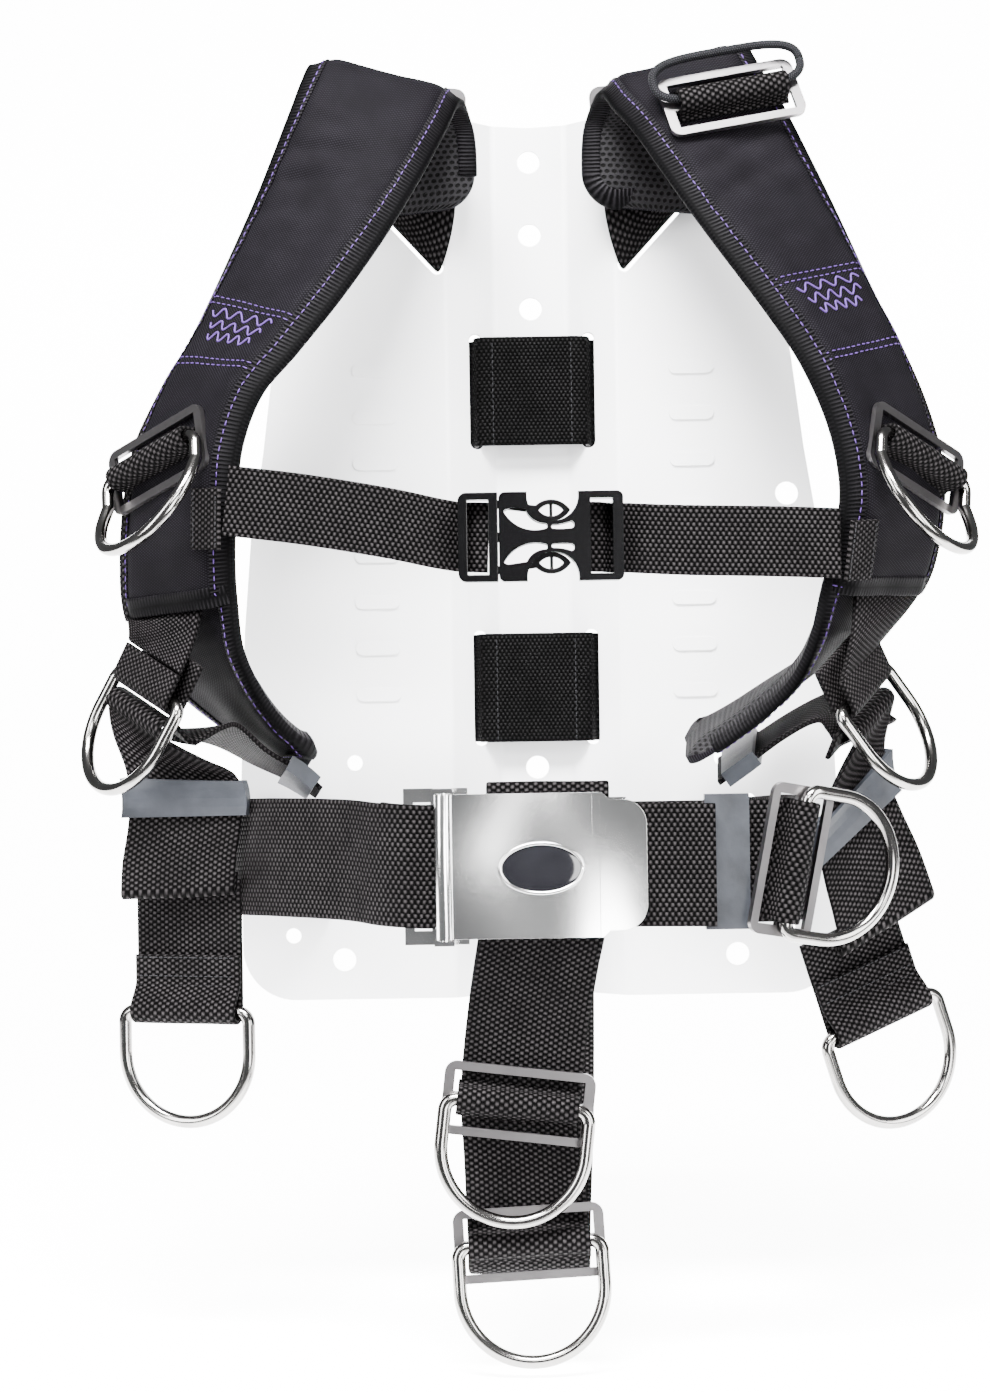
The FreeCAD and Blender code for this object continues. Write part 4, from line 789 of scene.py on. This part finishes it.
PATCH = {"right": (0.064, 0.037), "left": (0.076, 0.041)}
MOTIF_HEIGHT = {"right": 0.058, "left": 0.068}
pad_cloths = {}
for name, seed in (("right", 1.0), ("left", 7.0)):
    cloth = Cloth(flow(PAD_STATIONS[name], PAD_STEPS), PAD_WIDE, PAD_CORNER)
    cloth.seed = seed
    pad_cloths[name] = cloth
    covered = (cloth.lengths[SLEEVE_START * PAD_STEPS], cloth.lengths[SLEEVE_END * PAD_STEPS])
    cloth.folded = height_along(cloth, FOLDED_HEIGHT)
    body_of_pad = make_mesh_side(name + "_pad_body", cloth, covered)
    threaded(body_of_pad, "root", name + "_shoulder_pad", name + "_pad_sleeve", slot="spacer_foam")
    binding = folded_binding(name + "_pad_binding", cloth, covered)
    edging = outline_stitches(name + "_pad_stitching", cloth, covered, BINDING_WIDE - 2 * MM, violet_thread)
    trims = [binding, edging]
    for number, height in enumerate(PATCH[name]):
        for row in range(2):
            where = height_along(cloth, height) + row * 3 * MM * (1 if number == 0 else -1)
            path, lifts = row_across(cloth, where, covered, cloth.half - BINDING_WIDE)
            trims.append(stitch_run("%s_patch_seam_%d%d" % (name, number, row), path, lifts, violet_thread))
    hem_path, hem_lifts = row_across(cloth, covered[1] - 5 * MM, covered, cloth.half - 1 * MM, 0.5 * MM)
    hem_frames = []
    for number, (place, lift) in enumerate(zip(hem_path, hem_lifts)):
        heading = hem_path[min(number + 1, len(hem_path) - 1)] - hem_path[max(number - 1, 0)]
        hem_frames.append((place, lift.cross(heading).normalized(), lift))
    trims.append(strap(name + "_sleeve_hem", hem_frames, 9 * MM, 1.4 * MM, material=grosgrain))
    path, lifts = row_across(cloth, covered[1] - 3.5 * MM, covered, cloth.half - 2 * MM, 1.4 * MM)
    trims.append(stitch_run(name + "_hem_stitching", path, lifts, violet_thread))
    for number, (path, lifts) in enumerate(motif(cloth, height_along(cloth, MOTIF_HEIGHT[name]), covered)):
        trims.append(stitch_run("%s_motif_%d" % (name, number), path, lifts, violet_thread,
                                0.8 * MM, 1.4 * MM, 0.45 * MM))
    for trim in trims:
        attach(trim, "root")

# ---------------------------------------------------------------- shoulder webbing, sliders and D rings
# The webbing comes up behind the plate, through its slanted slot and down inside the pad. On the chest
# it is folded up over a flat steel slider's middle bar, where it holds a D ring welded from steel wire.


def lie_of(node, facing=(0, -1, 0)):
    """Middle, long direction, short direction and outward direction of a flat CAD piece."""
    points = numpy.array([vertex.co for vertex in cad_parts[node].data.vertices])
    middle = (points.max(0) + points.min(0)) / 2
    spread_of = numpy.linalg.svd(points - points.mean(0), full_matrices=False)[2]
    outward = Vector(spread_of[2])
    if outward.dot(Vector(facing)) < 0:
        outward.negate()
    along = Vector(spread_of[0])
    if along.x < 0:
        along.negate()
    return Vector(middle), along, outward.cross(along), outward


FOLD_RADIUS = 4.3 * MM
FOLD_HIGH = 4.4 * MM


def fold_path(legs):
    """Outline of a fold over a bar, seen from its end: distances up the strap and outward."""
    near, far = legs
    turns = [math.radians(degrees) for degrees in range(0, 181, 15)]
    arch = [(FOLD_RADIUS * math.cos(turn), FOLD_HIGH + FOLD_RADIUS * math.sin(turn)) for turn in turns]
    start = [(FOLD_RADIUS + 2.5 * MM, -near), (FOLD_RADIUS + 0.4 * MM, -near * 0.4), (FOLD_RADIUS, 1 * MM)]
    end = [(-FOLD_RADIUS, 1 * MM), (-FOLD_RADIUS - 0.4 * MM, -far * 0.4), (-FOLD_RADIUS - 2.5 * MM, -far)]
    return start + arch + end


def frames_across(path, across):
    """Frames for webbing that runs along a path with one width direction all the way."""
    frames = []
    for number, point in enumerate(path):
        heading = path[min(number + 1, len(path) - 1)] - path[max(number - 1, 0)]
        frames.append((point, across, heading.cross(across).normalized()))
    return frames


def fold(name, slider, legs, facing=(0, -1, 0)):
    """Webbing folded up through a slider's windows and over its middle bar."""
    middle, along, upward, outward = lie_of(slider, facing)
    path = [middle + upward * up + outward * out for up, out in fold_path(legs)]
    return strap(name, frames_across(path, along))


def held(piece):
    """Put a turn of webbing, which no plain solid stands for, on the main body."""
    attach(piece, "root")


SHOULDER_TAIL = [
    (-60, -15, 168, -6, 0), (-60, -15, 140, -18, 0), (-60, -15.5, 118, -40, 0),
    (-59.6, -23.5, 104.6, -47.4, 0), (-58.4, -31, 112, -30, 0), (-58, -32.6, 122, -10, 0),
]
HIP_DROP = {"right": [(-159, -104, -78, -14, -48, -5), (-163.8, -114.4, -88.6, -30.6, -53, 0)],
            "left": [(143, -105, -79, 22, 52, 5), (135.3, -115.6, -94.3, 40.6, 56, 0)]}
HIP_BAR = {"right": ((-167, -112, -100.5), (0.516, -0.80, -0.306), (-0.738, -0.60, 0.32)),
           "left": ((138, -112, -106), (0.42, 0.83, 0.36), (0.803, -0.524, 0.27))}
HIP_FRONT_LEG = 13
HIP_BACK_LEG = 19
STRAP_SHIFT = 8
STRAP_SHIFT_START = 6
WEBBING_RISE = 1.5 * MM
STRAP_STEPS = 9


def shifted(stations, side):
    """Let the webbing slide outward inside the pad, little by little down the chest."""
    moved = []
    for number, station in enumerate(stations):
        share = min(max((number - STRAP_SHIFT_START) / 4, 0), 1)
        moved.append(station + (side * share * STRAP_SHIFT,))
    return moved


def webbing_frames(name):
    """Shoulder webbing from behind the plate, over the shoulder inside the pad and out below it."""
    outward = -1 if name == "right" else 1
    tail = SHOULDER_TAIL if name == "right" else mirrored(SHOULDER_TAIL)
    inside = shifted(PAD_STATIONS[name], outward)
    covered = (len(tail) + SLEEVE_END - 1) * STRAP_STEPS + 1
    lower = flow([inside[SLEEVE_END]] + HIP_DROP[name], STRAP_STEPS)
    return flow(tail + inside[1:], STRAP_STEPS)[:covered] + lower[1:]


def directions(place):
    """Middle, width, up and outward directions of a place given by its middle, width and outward."""
    middle, across, outward = [Vector(entry) for entry in place]
    across.normalize()
    upward = outward.cross(across).normalized()
    return middle, across, upward, across.cross(upward)


def loop_frames(place, drop, back_leg, front_leg, pinch):
    """Webbing that goes down behind, round a ring's bar and up in front, where it may be sewn flat."""
    top, across, upward, outward = directions(place)
    reach = FOLD_RADIUS / MM
    back = [(step, -reach) for step in range(back_leg - drop, -drop, -3)]
    bottom = [(-drop - reach * math.sin(math.radians(turn)), -reach * math.cos(math.radians(turn)))
              for turn in range(0, 181, 15)]
    front = [(-drop + rise, reach - 2 * (reach - WEBBING_THICK / MM / 2) * smooth_step(rise / 13) * pinch)
             for rise in range(2, front_leg, 2)]
    path = [(top + upward * up + outward * out) * MM for up, out in back + bottom + front]
    return frames_across(path, across)


ring_steel = marked_material("polished_ring_steel", (0.16, 0.155, 0.15), (0.30, 0.29, 0.28),
                             0.1, 0.2, 1.0, 10 * MM, 0.9 * MM, 0.004 * MM)
for name in ("right", "left"):
    webbing = strap(name + "_shoulder_strap", webbing_frames(name), rise=WEBBING_RISE, seed=3.0)
    threaded(webbing, "root", name + "_shoulder_webbing")
    for place, legs, facing in (("shoulder", (3 * MM, 3 * MM), (0, -1, 0)),
                                ("back", (2 * MM, 2 * MM), (0, 1, 0))):
        held(fold("%s_%s_fold" % (name, place), "%s_%s_slider" % (name, place), legs, facing))
        paint_cad(satin_steel, "satin_steel", "%s_%s_slider" % (name, place))
    hip_turn = loop_frames(HIP_BAR[name], 0, HIP_BACK_LEG, HIP_FRONT_LEG, 0)
    held(strap(name + "_hip_loop", hip_turn, seed=2.0))
    paint_cad(ring_steel, "polished_steel", name + "_shoulder_ring", name + "_hip_ring")

# ---------------------------------------------------------------- hip straps, keepers and pull ends
# Under the arm the strap from the plate meets the adjuster, whose free end hangs down and is sewn round
# a D ring to pull on. Bands cut from inner tube, grey and scuffed, keep the layers of webbing together.

HIP_WEBBING = {
    "right": [(-164, -103, -120, -10, -45), (-150, -92, -118, 5, -55), (-137, -84, -120, 25, -68),
              (-122, -76, -130, 38, -77), (-107, -68, -139, 45, -80), (-97, -63, -147, 45, -82)],
    "left": [(142, -101, -124, 20, 50), (134, -95, -116, 30, 60), (124, -88, -112, 45, 70),
             (106, -80, -121, 55, 76), (90, -76, -132, 65, 78), (78, -74, -140, 70, 78)],
}
ADJUSTER = {
    "right": [(-172.5, -110.5, -114, -30, -53), (-163, -113.5, -125, -16, -32),
              (-154, -114.5, -136, -4, -16), (-151.5, -114.5, -148, 0, -10),
              (-152.5, -114.5, -160, 1, -10), (-155, -113, -174, 2, -8), (-156, -112, -187, 2, -8)],
    "left": [(142, -107.5, -120, 40, 56), (137, -110, -131, 43, 45), (133, -112, -143, 44, 36),
             (132, -112.5, -157, 42, 30), (136, -112.5, -171, 38, 26), (142, -112, -188, 33, 20),
             (147, -111, -205, 30, 16)],
}
PULL_TOP = {"right": ((-154, -106, -183), (0.93, -0.36, 0.0), (-0.36, -0.93, 0.0)),
            "left": ((133, -102, -208), (0.86, 0.40, 0.33), (0.42, -0.90, 0.0))}
PULL_LONG = {"right": 57, "left": 42}
PULL_BACK_LEG = 26
PULL_SEAM = (11, 15, 23)
PULL_SEAM_HALF = 22 * MM


def rubber_material():
    """Grey inner tube: satin, dusty, with long scuffs along it."""
    material, tree, shader = start_material("inner_tube_rubber", (0.03, 0.034, 0.042), 0.5, 0.0, 0.25)
    marks = place_group(tree, marks_group, place=object_place(tree), patch_size=12 * MM,
                        scratch_size=1.5 * MM)
    dusted = tint(tree, marks["Mark"], (0.003, 0.0034, 0.0044), (0.028, 0.031, 0.038))
    link(tree, dusted, shader.inputs["Base Color"])
    link(tree, spread(tree, marks["Scratch"], 0.3, 0.62), shader.inputs["Roughness"])
    bump(tree, shader, marks["Mark"], 0.6 * MM, 0.6)
    return material


def turned_back(frame_at_end, heading, radius, leg, first):
    """Frames that fold a strap back behind itself before its first frame or after its last one."""
    centre, across, normal = frame_at_end
    axis = centre - normal * radius
    turns = range(180, 0, -15) if first else range(15, 181, 15)
    bend = []
    for turn in turns:
        facing = normal * math.cos(math.radians(turn)) + heading * math.sin(math.radians(turn))
        bend.append((axis + facing * radius, across, facing))
    hidden = (centre - normal * 2 * radius - heading * leg, across, -normal)
    return [hidden] + bend if first else bend + [hidden]


ROLL_RADIUS = 2.9 * MM
ROLL_LEG = 10 * MM
FLAP_RADIUS = 1.2 * MM
FLAP_LEG = 6 * MM
rubber_grey = rubber_material()
for name in ("right", "left"):
    hip = strap(name + "_hip_strap", flow(HIP_WEBBING[name]), rise=WEBBING_RISE, ripple=0.6 * MM, seed=11.0)
    threaded(hip, "root", name + "_hip_webbing")
    frames = flow(ADJUSTER[name])
    up = (frames[0][0] - frames[1][0]).normalized()
    down = (frames[-1][0] - frames[-2][0]).normalized()
    roll = turned_back(frames[0], up, ROLL_RADIUS, ROLL_LEG, True)
    flap = turned_back(frames[-1], down, FLAP_RADIUS, FLAP_LEG, False)
    adjuster = strap(name + "_adjuster_strap", roll + frames + flap, rise=WEBBING_RISE, ripple=0.5 * MM,
                     seed=5.0)
    threaded(adjuster, "root", name + "_adjuster_webbing")
    paint_cad(rubber_grey, "grey_rubber", name + "_adjuster_keeper", name + "_hip_keeper")

    frames = loop_frames(PULL_TOP[name], PULL_LONG[name], PULL_LONG[name], PULL_BACK_LEG, 1)
    top, across, upward, outward = directions(PULL_TOP[name])
    pull = strap(name + "_pull_end", frames, ripple=0.3 * MM, seed=8.0)
    threaded(pull, name + "_pull", name + "_pull_strap")
    for number, rise in enumerate(PULL_SEAM):
        middle = (top + upward * (rise - PULL_LONG[name]) + outward * -0.7) * MM
        path = [middle + across * reach for reach in (-PULL_SEAM_HALF, PULL_SEAM_HALF)]
        sew("%s_pull_seam_%d" % (name, number), name + "_pull", path, outward, 2.4 * MM, 1.7 * MM)
    paint_cad(ring_steel, "polished_steel", name + "_pull_ring")

# ---------------------------------------------------------------- inflator holder
# A slider on the left shoulder with a stub of webbing over its bar. Black elastic cord under the stub
# makes a loop that holds the inflator hose.


def tube_along(name, path, radius, material, sides=12):
    """Closed round cord through a ring of points."""
    rows = []
    count = len(path)
    for number, point in enumerate(path):
        heading = (path[(number + 1) % count] - path[number - 1]).normalized()
        lift = heading.orthogonal().normalized() if number == 0 else lift - heading * lift.dot(heading)
        lift.normalize()
        side = heading.cross(lift)
        turns = [math.radians(360 * step / sides) for step in range(sides)]
        rows.append([point + (lift * math.cos(turn) + side * math.sin(turn)) * radius for turn in turns])
    rows.append([point.copy() for point in rows[0]])
    along = [0.0]
    for number in range(count):
        along.append(along[-1] + (path[(number + 1) % count] - path[number]).length)
    around = [2 * math.pi * radius * step / sides for step in range(sides + 1)]
    return skin(name, rows, around, along, material)


braid = woven_material("braided_elastic", (0.003, 0.003, 0.0035), (0.03, 0.03, 0.033),
                       1.1 * MM, 1.0 * MM, 0.2 * MM, 0.6)
middle, along, upward, outward = lie_of("inflator_slider")
stub = fold("inflator_stub", "inflator_slider", (1.5 * MM, 1.5 * MM))
threaded(stub, "root", "inflator_webbing")
LOOP_HALF = 33.5 * MM
LOOP_UP = 20 * MM
LOOP_LIFT = 3 * MM
CORD_RADIUS = 1.9 * MM


def squared(share, power):
    """A sine or cosine made blunter, so that the loop it draws has straighter sides."""
    return math.copysign(abs(share) ** power, share)


loop_path = []
for degrees in range(0, 360, 5):
    turn = math.radians(degrees)
    out = squared(math.cos(turn), 0.55) * LOOP_HALF
    up = LOOP_UP / 2 + squared(math.sin(turn), 0.75) * LOOP_UP / 2
    lift = FOLD_HIGH + LOOP_LIFT * smooth_step(up / LOOP_UP)
    loop_path.append(middle + along * out + upward * up + outward * lift)
loop = tube_along("inflator_elastic", loop_path, CORD_RADIUS, braid)
threaded(loop, "root", "inflator_loop", slot="elastic_cord")
paint_cad(satin_steel, "satin_steel", "inflator_slider")

# ---------------------------------------------------------------- chest strap
# Thinner 30 mm webbing, sewn to a tab on each pad's sleeve and joined by a side-release buckle. The
# right length is threaded on the plug and comes away with it when the buckle opens.

CHEST_WIDE = 30 * MM
CHEST_THICK = 1.8 * MM
TAB_WIDE = 18 * MM
TAB_SEAM_HALF = 11 * MM
TAB_SEAM_OUT = 7 * MM
RIGHT_CHEST = [(-132, -129.2, -22, 83, 0), (-100, -126, -26, 83, 0), (-65, -122.5, -32, 83, 0),
               (-44, -118.0, -36.5, 85, 0), (-35, -113.6, -38, 87, 0), (-30.5, -113.6, -38.4, 88, 0),
               (-26, -117, -38.7, 88, 0), (-21, -118, -39, 88, 0)]
LEFT_CHEST = [(21, -118, -39.2, 90, 0), (26.5, -117, -39.3, 90, 0), (31.5, -112.0, -39.5, 90, 0),
              (38, -112.0, -39.6, 90, 0), (47, -117, -40.4, 90, 0), (65, -121.5, -41.5, 90, 0),
              (100, -125, -42.7, 90, 0), (128.3, -127.5, -44.1, 90, 0)]
right_chest = strap("right_chest_webbing", flow(RIGHT_CHEST, 7), CHEST_WIDE, CHEST_THICK, seed=2.0)
left_chest = strap("left_chest_webbing", flow(LEFT_CHEST, 7), CHEST_WIDE, CHEST_THICK, seed=4.0)
threaded(left_chest, "root", "left_chest_strap")
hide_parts("right_chest_strap")
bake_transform(right_chest)
for name in ("right", "left"):
    middle, along, upward, outward = lie_of(name + "_chest_tab")
    tab_frames = [(middle + along * step * MM, upward, outward) for step in range(-13, 14, 2)]
    tab = strap(name + "_chest_patch", tab_frames, TAB_WIDE, CHEST_THICK)
    threaded(tab, "root", name + "_chest_tab")
    for number, side in enumerate((-1, 1)):
        seam_middle = middle + upward * side * TAB_SEAM_OUT + outward * 1.1 * MM
        path = [seam_middle + along * reach for reach in (-TAB_SEAM_HALF, TAB_SEAM_HALF)]
        sew("%s_chest_seam_%d" % (name, number), "root", path, outward, 2.2 * MM, 1.5 * MM)

acetal_black = marked_material("moulded_acetal", (0.0004, 0.0004, 0.0005), (0.0012, 0.0012, 0.0014),
                               0.14, 0.24, 0.0, 15 * MM, 0.6 * MM, 0.02 * MM, 0.22)
paint_cad(acetal_black, "black_acetal", "chest_buckle_socket", "chest_buckle_plug", edge=0.9 * MM)

# ---------------------------------------------------------------- waist belt
# The same 50 mm webbing. The right length is hooked over the buckle's frame; the left one passes behind
# the buckle, turns round its far bar and comes back under the flap. A slider holds a D ring on the left.

RIGHT_BELT = [
    (-68, -18.6, -179, 90, 0), (-86, -18.4, -179, 90, 0), (-94.5, -20.5, -179, 90, 0),
    (-95.7, -25, -179, 90, 0), (-99, -34, -178.5, 90, 0), (-113, -52, -177, 90, 0),
    (-129.5, -78, -175, 90, 0), (-131, -104, -174, 90, 0), (-111, -135, -173, 90, 0),
    (-83, -164, -173, 90, 0), (-68, -184, -174, 90, 0), (-58, -191.9, -174.5, 90, 0),
    (-50, -192.7, -175, 90, 0), (-43.6, -192.4, -175, 90, 0), (-41, -190.2, -175, 90, 0),
    (-43.6, -188, -175, 90, 0), (-50, -187.4, -175, 90, 0), (-60, -184.6, -174.5, 90, 0),
    (-66, -176, -174, 90, 0),
]
LEFT_BELT = [
    (68, -18.6, -179, -90, 0), (86, -18.4, -179, -90, 0), (94.5, -20.5, -179, -90, 0),
    (95.7, -25, -179, -90, 0), (99, -36, -178.5, -90, 0), (106, -65, -177, -90, 0),
    (109, -100, -176, -90, 0), (109, -135, -175, -90, 0), (110, -158, -175, -90, 0),
    (105, -174, -175, -90, 0), (95, -182.5, -175, -90, 0), (82, -184.6, -175, -90, 0),
    (60, -184.4, -175, -90, 0),
    (0, -184.2, -175, -90, 0), (-28, -184.2, -175, -90, 0), (-34.5, -185.4, -175, -90, 0),
    (-37.2, -188.7, -175, -90, 0), (-34.5, -192, -175, -90, 0), (-28, -193.2, -175, -90, 0),
    (0, -193.2, -175, -90, 0), (40, -193, -175.5, -90, 0), (69, -191.9, -176, -90, 0),
]
for name, stations in (("right", RIGHT_BELT), ("left", LEFT_BELT)):
    belt = strap(name + "_belt_webbing", flow(stations), ripple=0.2 * MM, seed=6.0)
    threaded(belt, "root", name + "_waist_belt")
held(fold("waist_ring_fold", "waist_slider", (3 * MM, 3 * MM)))
paint_cad(satin_steel, "satin_steel", "waist_slider")
paint_cad(ring_steel, "polished_steel", "waist_ring")
paint_cad(rubber_grey, "grey_rubber", "waist_keeper")

# ---------------------------------------------------------------- waist buckle
# Stainless cam buckle: a stamped frame with ears, a hinge pin, and a flap whose rolled edge clamps the
# belt. The flap is brushed and bright, with shallow scratches; a blank black domed inlay sits on it.


def bright_steel():
    """Finely brushed stainless steel, scuffed in patches, on a sheet that is not quite flat."""
    material, tree, shader = start_material("bright_brushed_steel", (0.65, 0.65, 0.64), 0.24, 1.0)
    marks = place_group(tree, marks_group, place=object_place(tree), patch_size=30 * MM,
                        scratch_size=0.8 * MM)
    broad = tree.nodes.new("ShaderNodeTexNoise")
    broad.inputs["Scale"].default_value = 16.0
    broad.inputs["Detail"].default_value = 0.0
    link(tree, object_place(tree), broad.inputs["Vector"])
    patched = tint(tree, marks["Mark"], (0.56, 0.56, 0.56), (0.80, 0.795, 0.79))
    link(tree, patched, shader.inputs["Base Color"])
    link(tree, spread(tree, marks["Scratch"], 0.10, 0.26), shader.inputs["Roughness"])
    bump(tree, shader, broad.outputs["Fac"], 9.0 * MM)
    return material


buckle_steel = bright_steel()
paint_cad(buckle_steel, "brushed_steel", "waist_buckle_frame", "waist_buckle_pin")
paint_cad(buckle_steel, "brushed_steel", "waist_buckle_flap", edge=0.5 * MM)
inlay_black = marked_material("domed_inlay", (0.004, 0.004, 0.005), (0.01, 0.01, 0.012),
                              0.04, 0.1, 0.0, 10 * MM, 2 * MM, 0.004 * MM)
paint_cad(inlay_black, "black_inlay", "waist_buckle_badge")
BADGE_RIM = 0.9 * MM
badge_low, badge_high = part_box("waist_buckle_badge")
centre = (badge_low + badge_high) / 2
half_wide = (badge_high.x - badge_low.x) / 2
half_high = (badge_high.z - badge_low.z) / 2
rim_path = []
for degrees in range(0, 360, 5):
    turn = math.radians(degrees)
    rim_path.append(Vector((centre.x + half_wide * math.cos(turn), centre.y + 0.2 * MM,
                            centre.z + half_high * math.sin(turn))))
rim = tube_along("badge_rim", rim_path, BADGE_RIM, buckle_steel)
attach(rim, "waist_flap")

# ---------------------------------------------------------------- crotch strap
# One length of webbing from the plate's lowest slot, between the legs, up in front to a loop that the
# belt passes through. Two sliders on it hold D rings for a scooter line and a lift.

CROTCH = [
    (0, 4.6, -160, 0, 0), (0, 4.4, -180, 0, 0), (0, 0.8, -189, 0, 0), (0, -6, -190.2, 0, 0),
    (0, -13, -191.4, 0, 0), (-1, -27, -204, 0, 0), (-2, -55, -240, 0, 0), (-4, -92, -288, 0, 0),
    (-7, -128, -328, 0, 0), (-8, -148, -344, 0, 0), (-9, -159, -343, 0, 0), (-9, -165, -330, 0, 0),
    (-10, -167, -300, -3, 0), (-11, -168, -272, -5, 0), (-8, -172, -240, -4, 0), (-3, -178, -207, -2, 0),
    (1, -180.8, -185, 0, 0), (1.5, -181.2, -160, 0, 0), (1.5, -181.8, -147, 0, 0),
    (1.5, -184.5, -142.4, 0, 0), (1.5, -187.2, -147, 0, 0), (1.5, -187.5, -160, 0, 0),
    (1, -187.5, -188, 0, 0), (-1, -187, -203, -2, 0), (-4, -183.5, -217, -3, 0), (-8, -177, -240, -4, 0),
    (-10.5, -173.6, -262, -5, 0),
]
GATHERED = (-0.325, -0.28, 1.3 * MM)
crotch = strap("crotch_webbing", flow(CROTCH, 16), ripple=0.6 * MM, seed=9.0, gathers=GATHERED)
threaded(crotch, "root", "crotch_strap")
for name in ("upper", "lower"):
    held(fold("crotch_%s_fold" % name, "crotch_%s_slider" % name, (3 * MM, 3 * MM)))
    paint_cad(satin_steel, "satin_steel", "crotch_%s_slider" % name)
    paint_cad(ring_steel, "polished_steel", "crotch_%s_ring" % name)

# ---------------------------------------------------------------- floor, lights and camera
# A white sweep under and behind the harness, soft panels from above, the front and both sides, and a
# long lens at chest height nearly straight in front.

low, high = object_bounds()
FLOOR_REACH = 1.3
SWEEP_BACK = 1.6
SWEEP_TURN = 0.8
SWEEP_STEPS = 12
SWEEP_HIGH = 2.0
FLOOR_FRONT = -0.34
BRIGHT_FROM = -0.24
floor_height = low.z - 4 * MM
sweep_points = [(FLOOR_FRONT, floor_height), (BRIGHT_FROM, floor_height)]
for step in range(SWEEP_STEPS + 1):
    turn = math.radians(90 * step / SWEEP_STEPS)
    sweep_points.append((SWEEP_BACK + SWEEP_TURN * math.sin(turn),
                         floor_height + SWEEP_TURN * (1 - math.cos(turn))))
sweep_points.append((SWEEP_BACK + SWEEP_TURN, low.z + SWEEP_HIGH))
sweep_mesh = bpy.data.meshes.new("sweep")
corners = [(side * FLOOR_REACH, along, up) for along, up in sweep_points for side in (-1, 1)]
quads = [(2 * row, 2 * row + 1, 2 * row + 3, 2 * row + 2) for row in range(len(sweep_points) - 1)]
sweep_mesh.from_pydata(corners, [], quads)
sweep_mesh.polygons.foreach_set("use_smooth", [True] * len(quads))
backdrop, tree, shader = start_material("lit_sweep", (0.95, 0.95, 0.95), 0.9)
shader.inputs["Emission Color"].default_value = (1.0, 1.0, 1.0, 1.0)
shader.inputs["Emission Strength"].default_value = 9.0
near_floor, tree, shader = start_material("pale_floor", (0.8, 0.8, 0.8), 0.9)
sweep = show("sweep", sweep_mesh, backdrop)
sweep_mesh.materials.append(near_floor)
sweep_mesh.polygons[0].material_index = 1


def soft_panel(name, place, target, wide, high, power):
    """Rectangular soft light that faces a point."""
    lamp = bpy.data.lights.new(name, "AREA")
    lamp.shape = "RECTANGLE"
    lamp.size = wide
    lamp.size_y = high
    lamp.energy = power
    panel = bpy.data.objects.new(name, lamp)
    panel.location = place
    panel.rotation_euler = (Vector(target) - Vector(place)).to_track_quat("-Z", "Y").to_euler()
    bpy.context.scene.collection.objects.link(panel)


AIM = (0.0, -0.08, -0.1)
soft_panel("left_panel", (-1.6, -1.3, 0.6), AIM, 0.7, 1.6, 95)
soft_panel("right_panel", (1.6, -1.3, 0.4), AIM, 0.7, 1.6, 80)
soft_panel("top_panel", (-0.2, -1.2, 1.6), AIM, 1.2, 0.6, 400)
soft_panel("front_panel", (-0.3, -2.6, 1.4), AIM, 1.2, 0.5, 70)
soft_panel("low_panel", (0.95, -2.5, -0.3), AIM, 0.9, 1.3, 100)
world = bpy.data.worlds.new("studio")
world.use_nodes = True
world.node_tree.nodes["Background"].inputs["Color"].default_value = (0.95, 0.97, 1.0, 1.0)
world.node_tree.nodes["Background"].inputs["Strength"].default_value = 0.2
bpy.context.scene.world = world

camera = bpy.data.cameras.new("camera")
camera.sensor_width = 36.0
camera.sensor_fit = "AUTO"
camera.lens = 84.0
viewer = bpy.data.objects.new("camera", camera)
viewer.location = (-0.0192, -1.503, -0.1065)
viewer.rotation_euler = (math.radians(90), math.radians(0.9), 0.0)
bpy.context.scene.collection.objects.link(viewer)
bpy.context.scene.camera = viewer
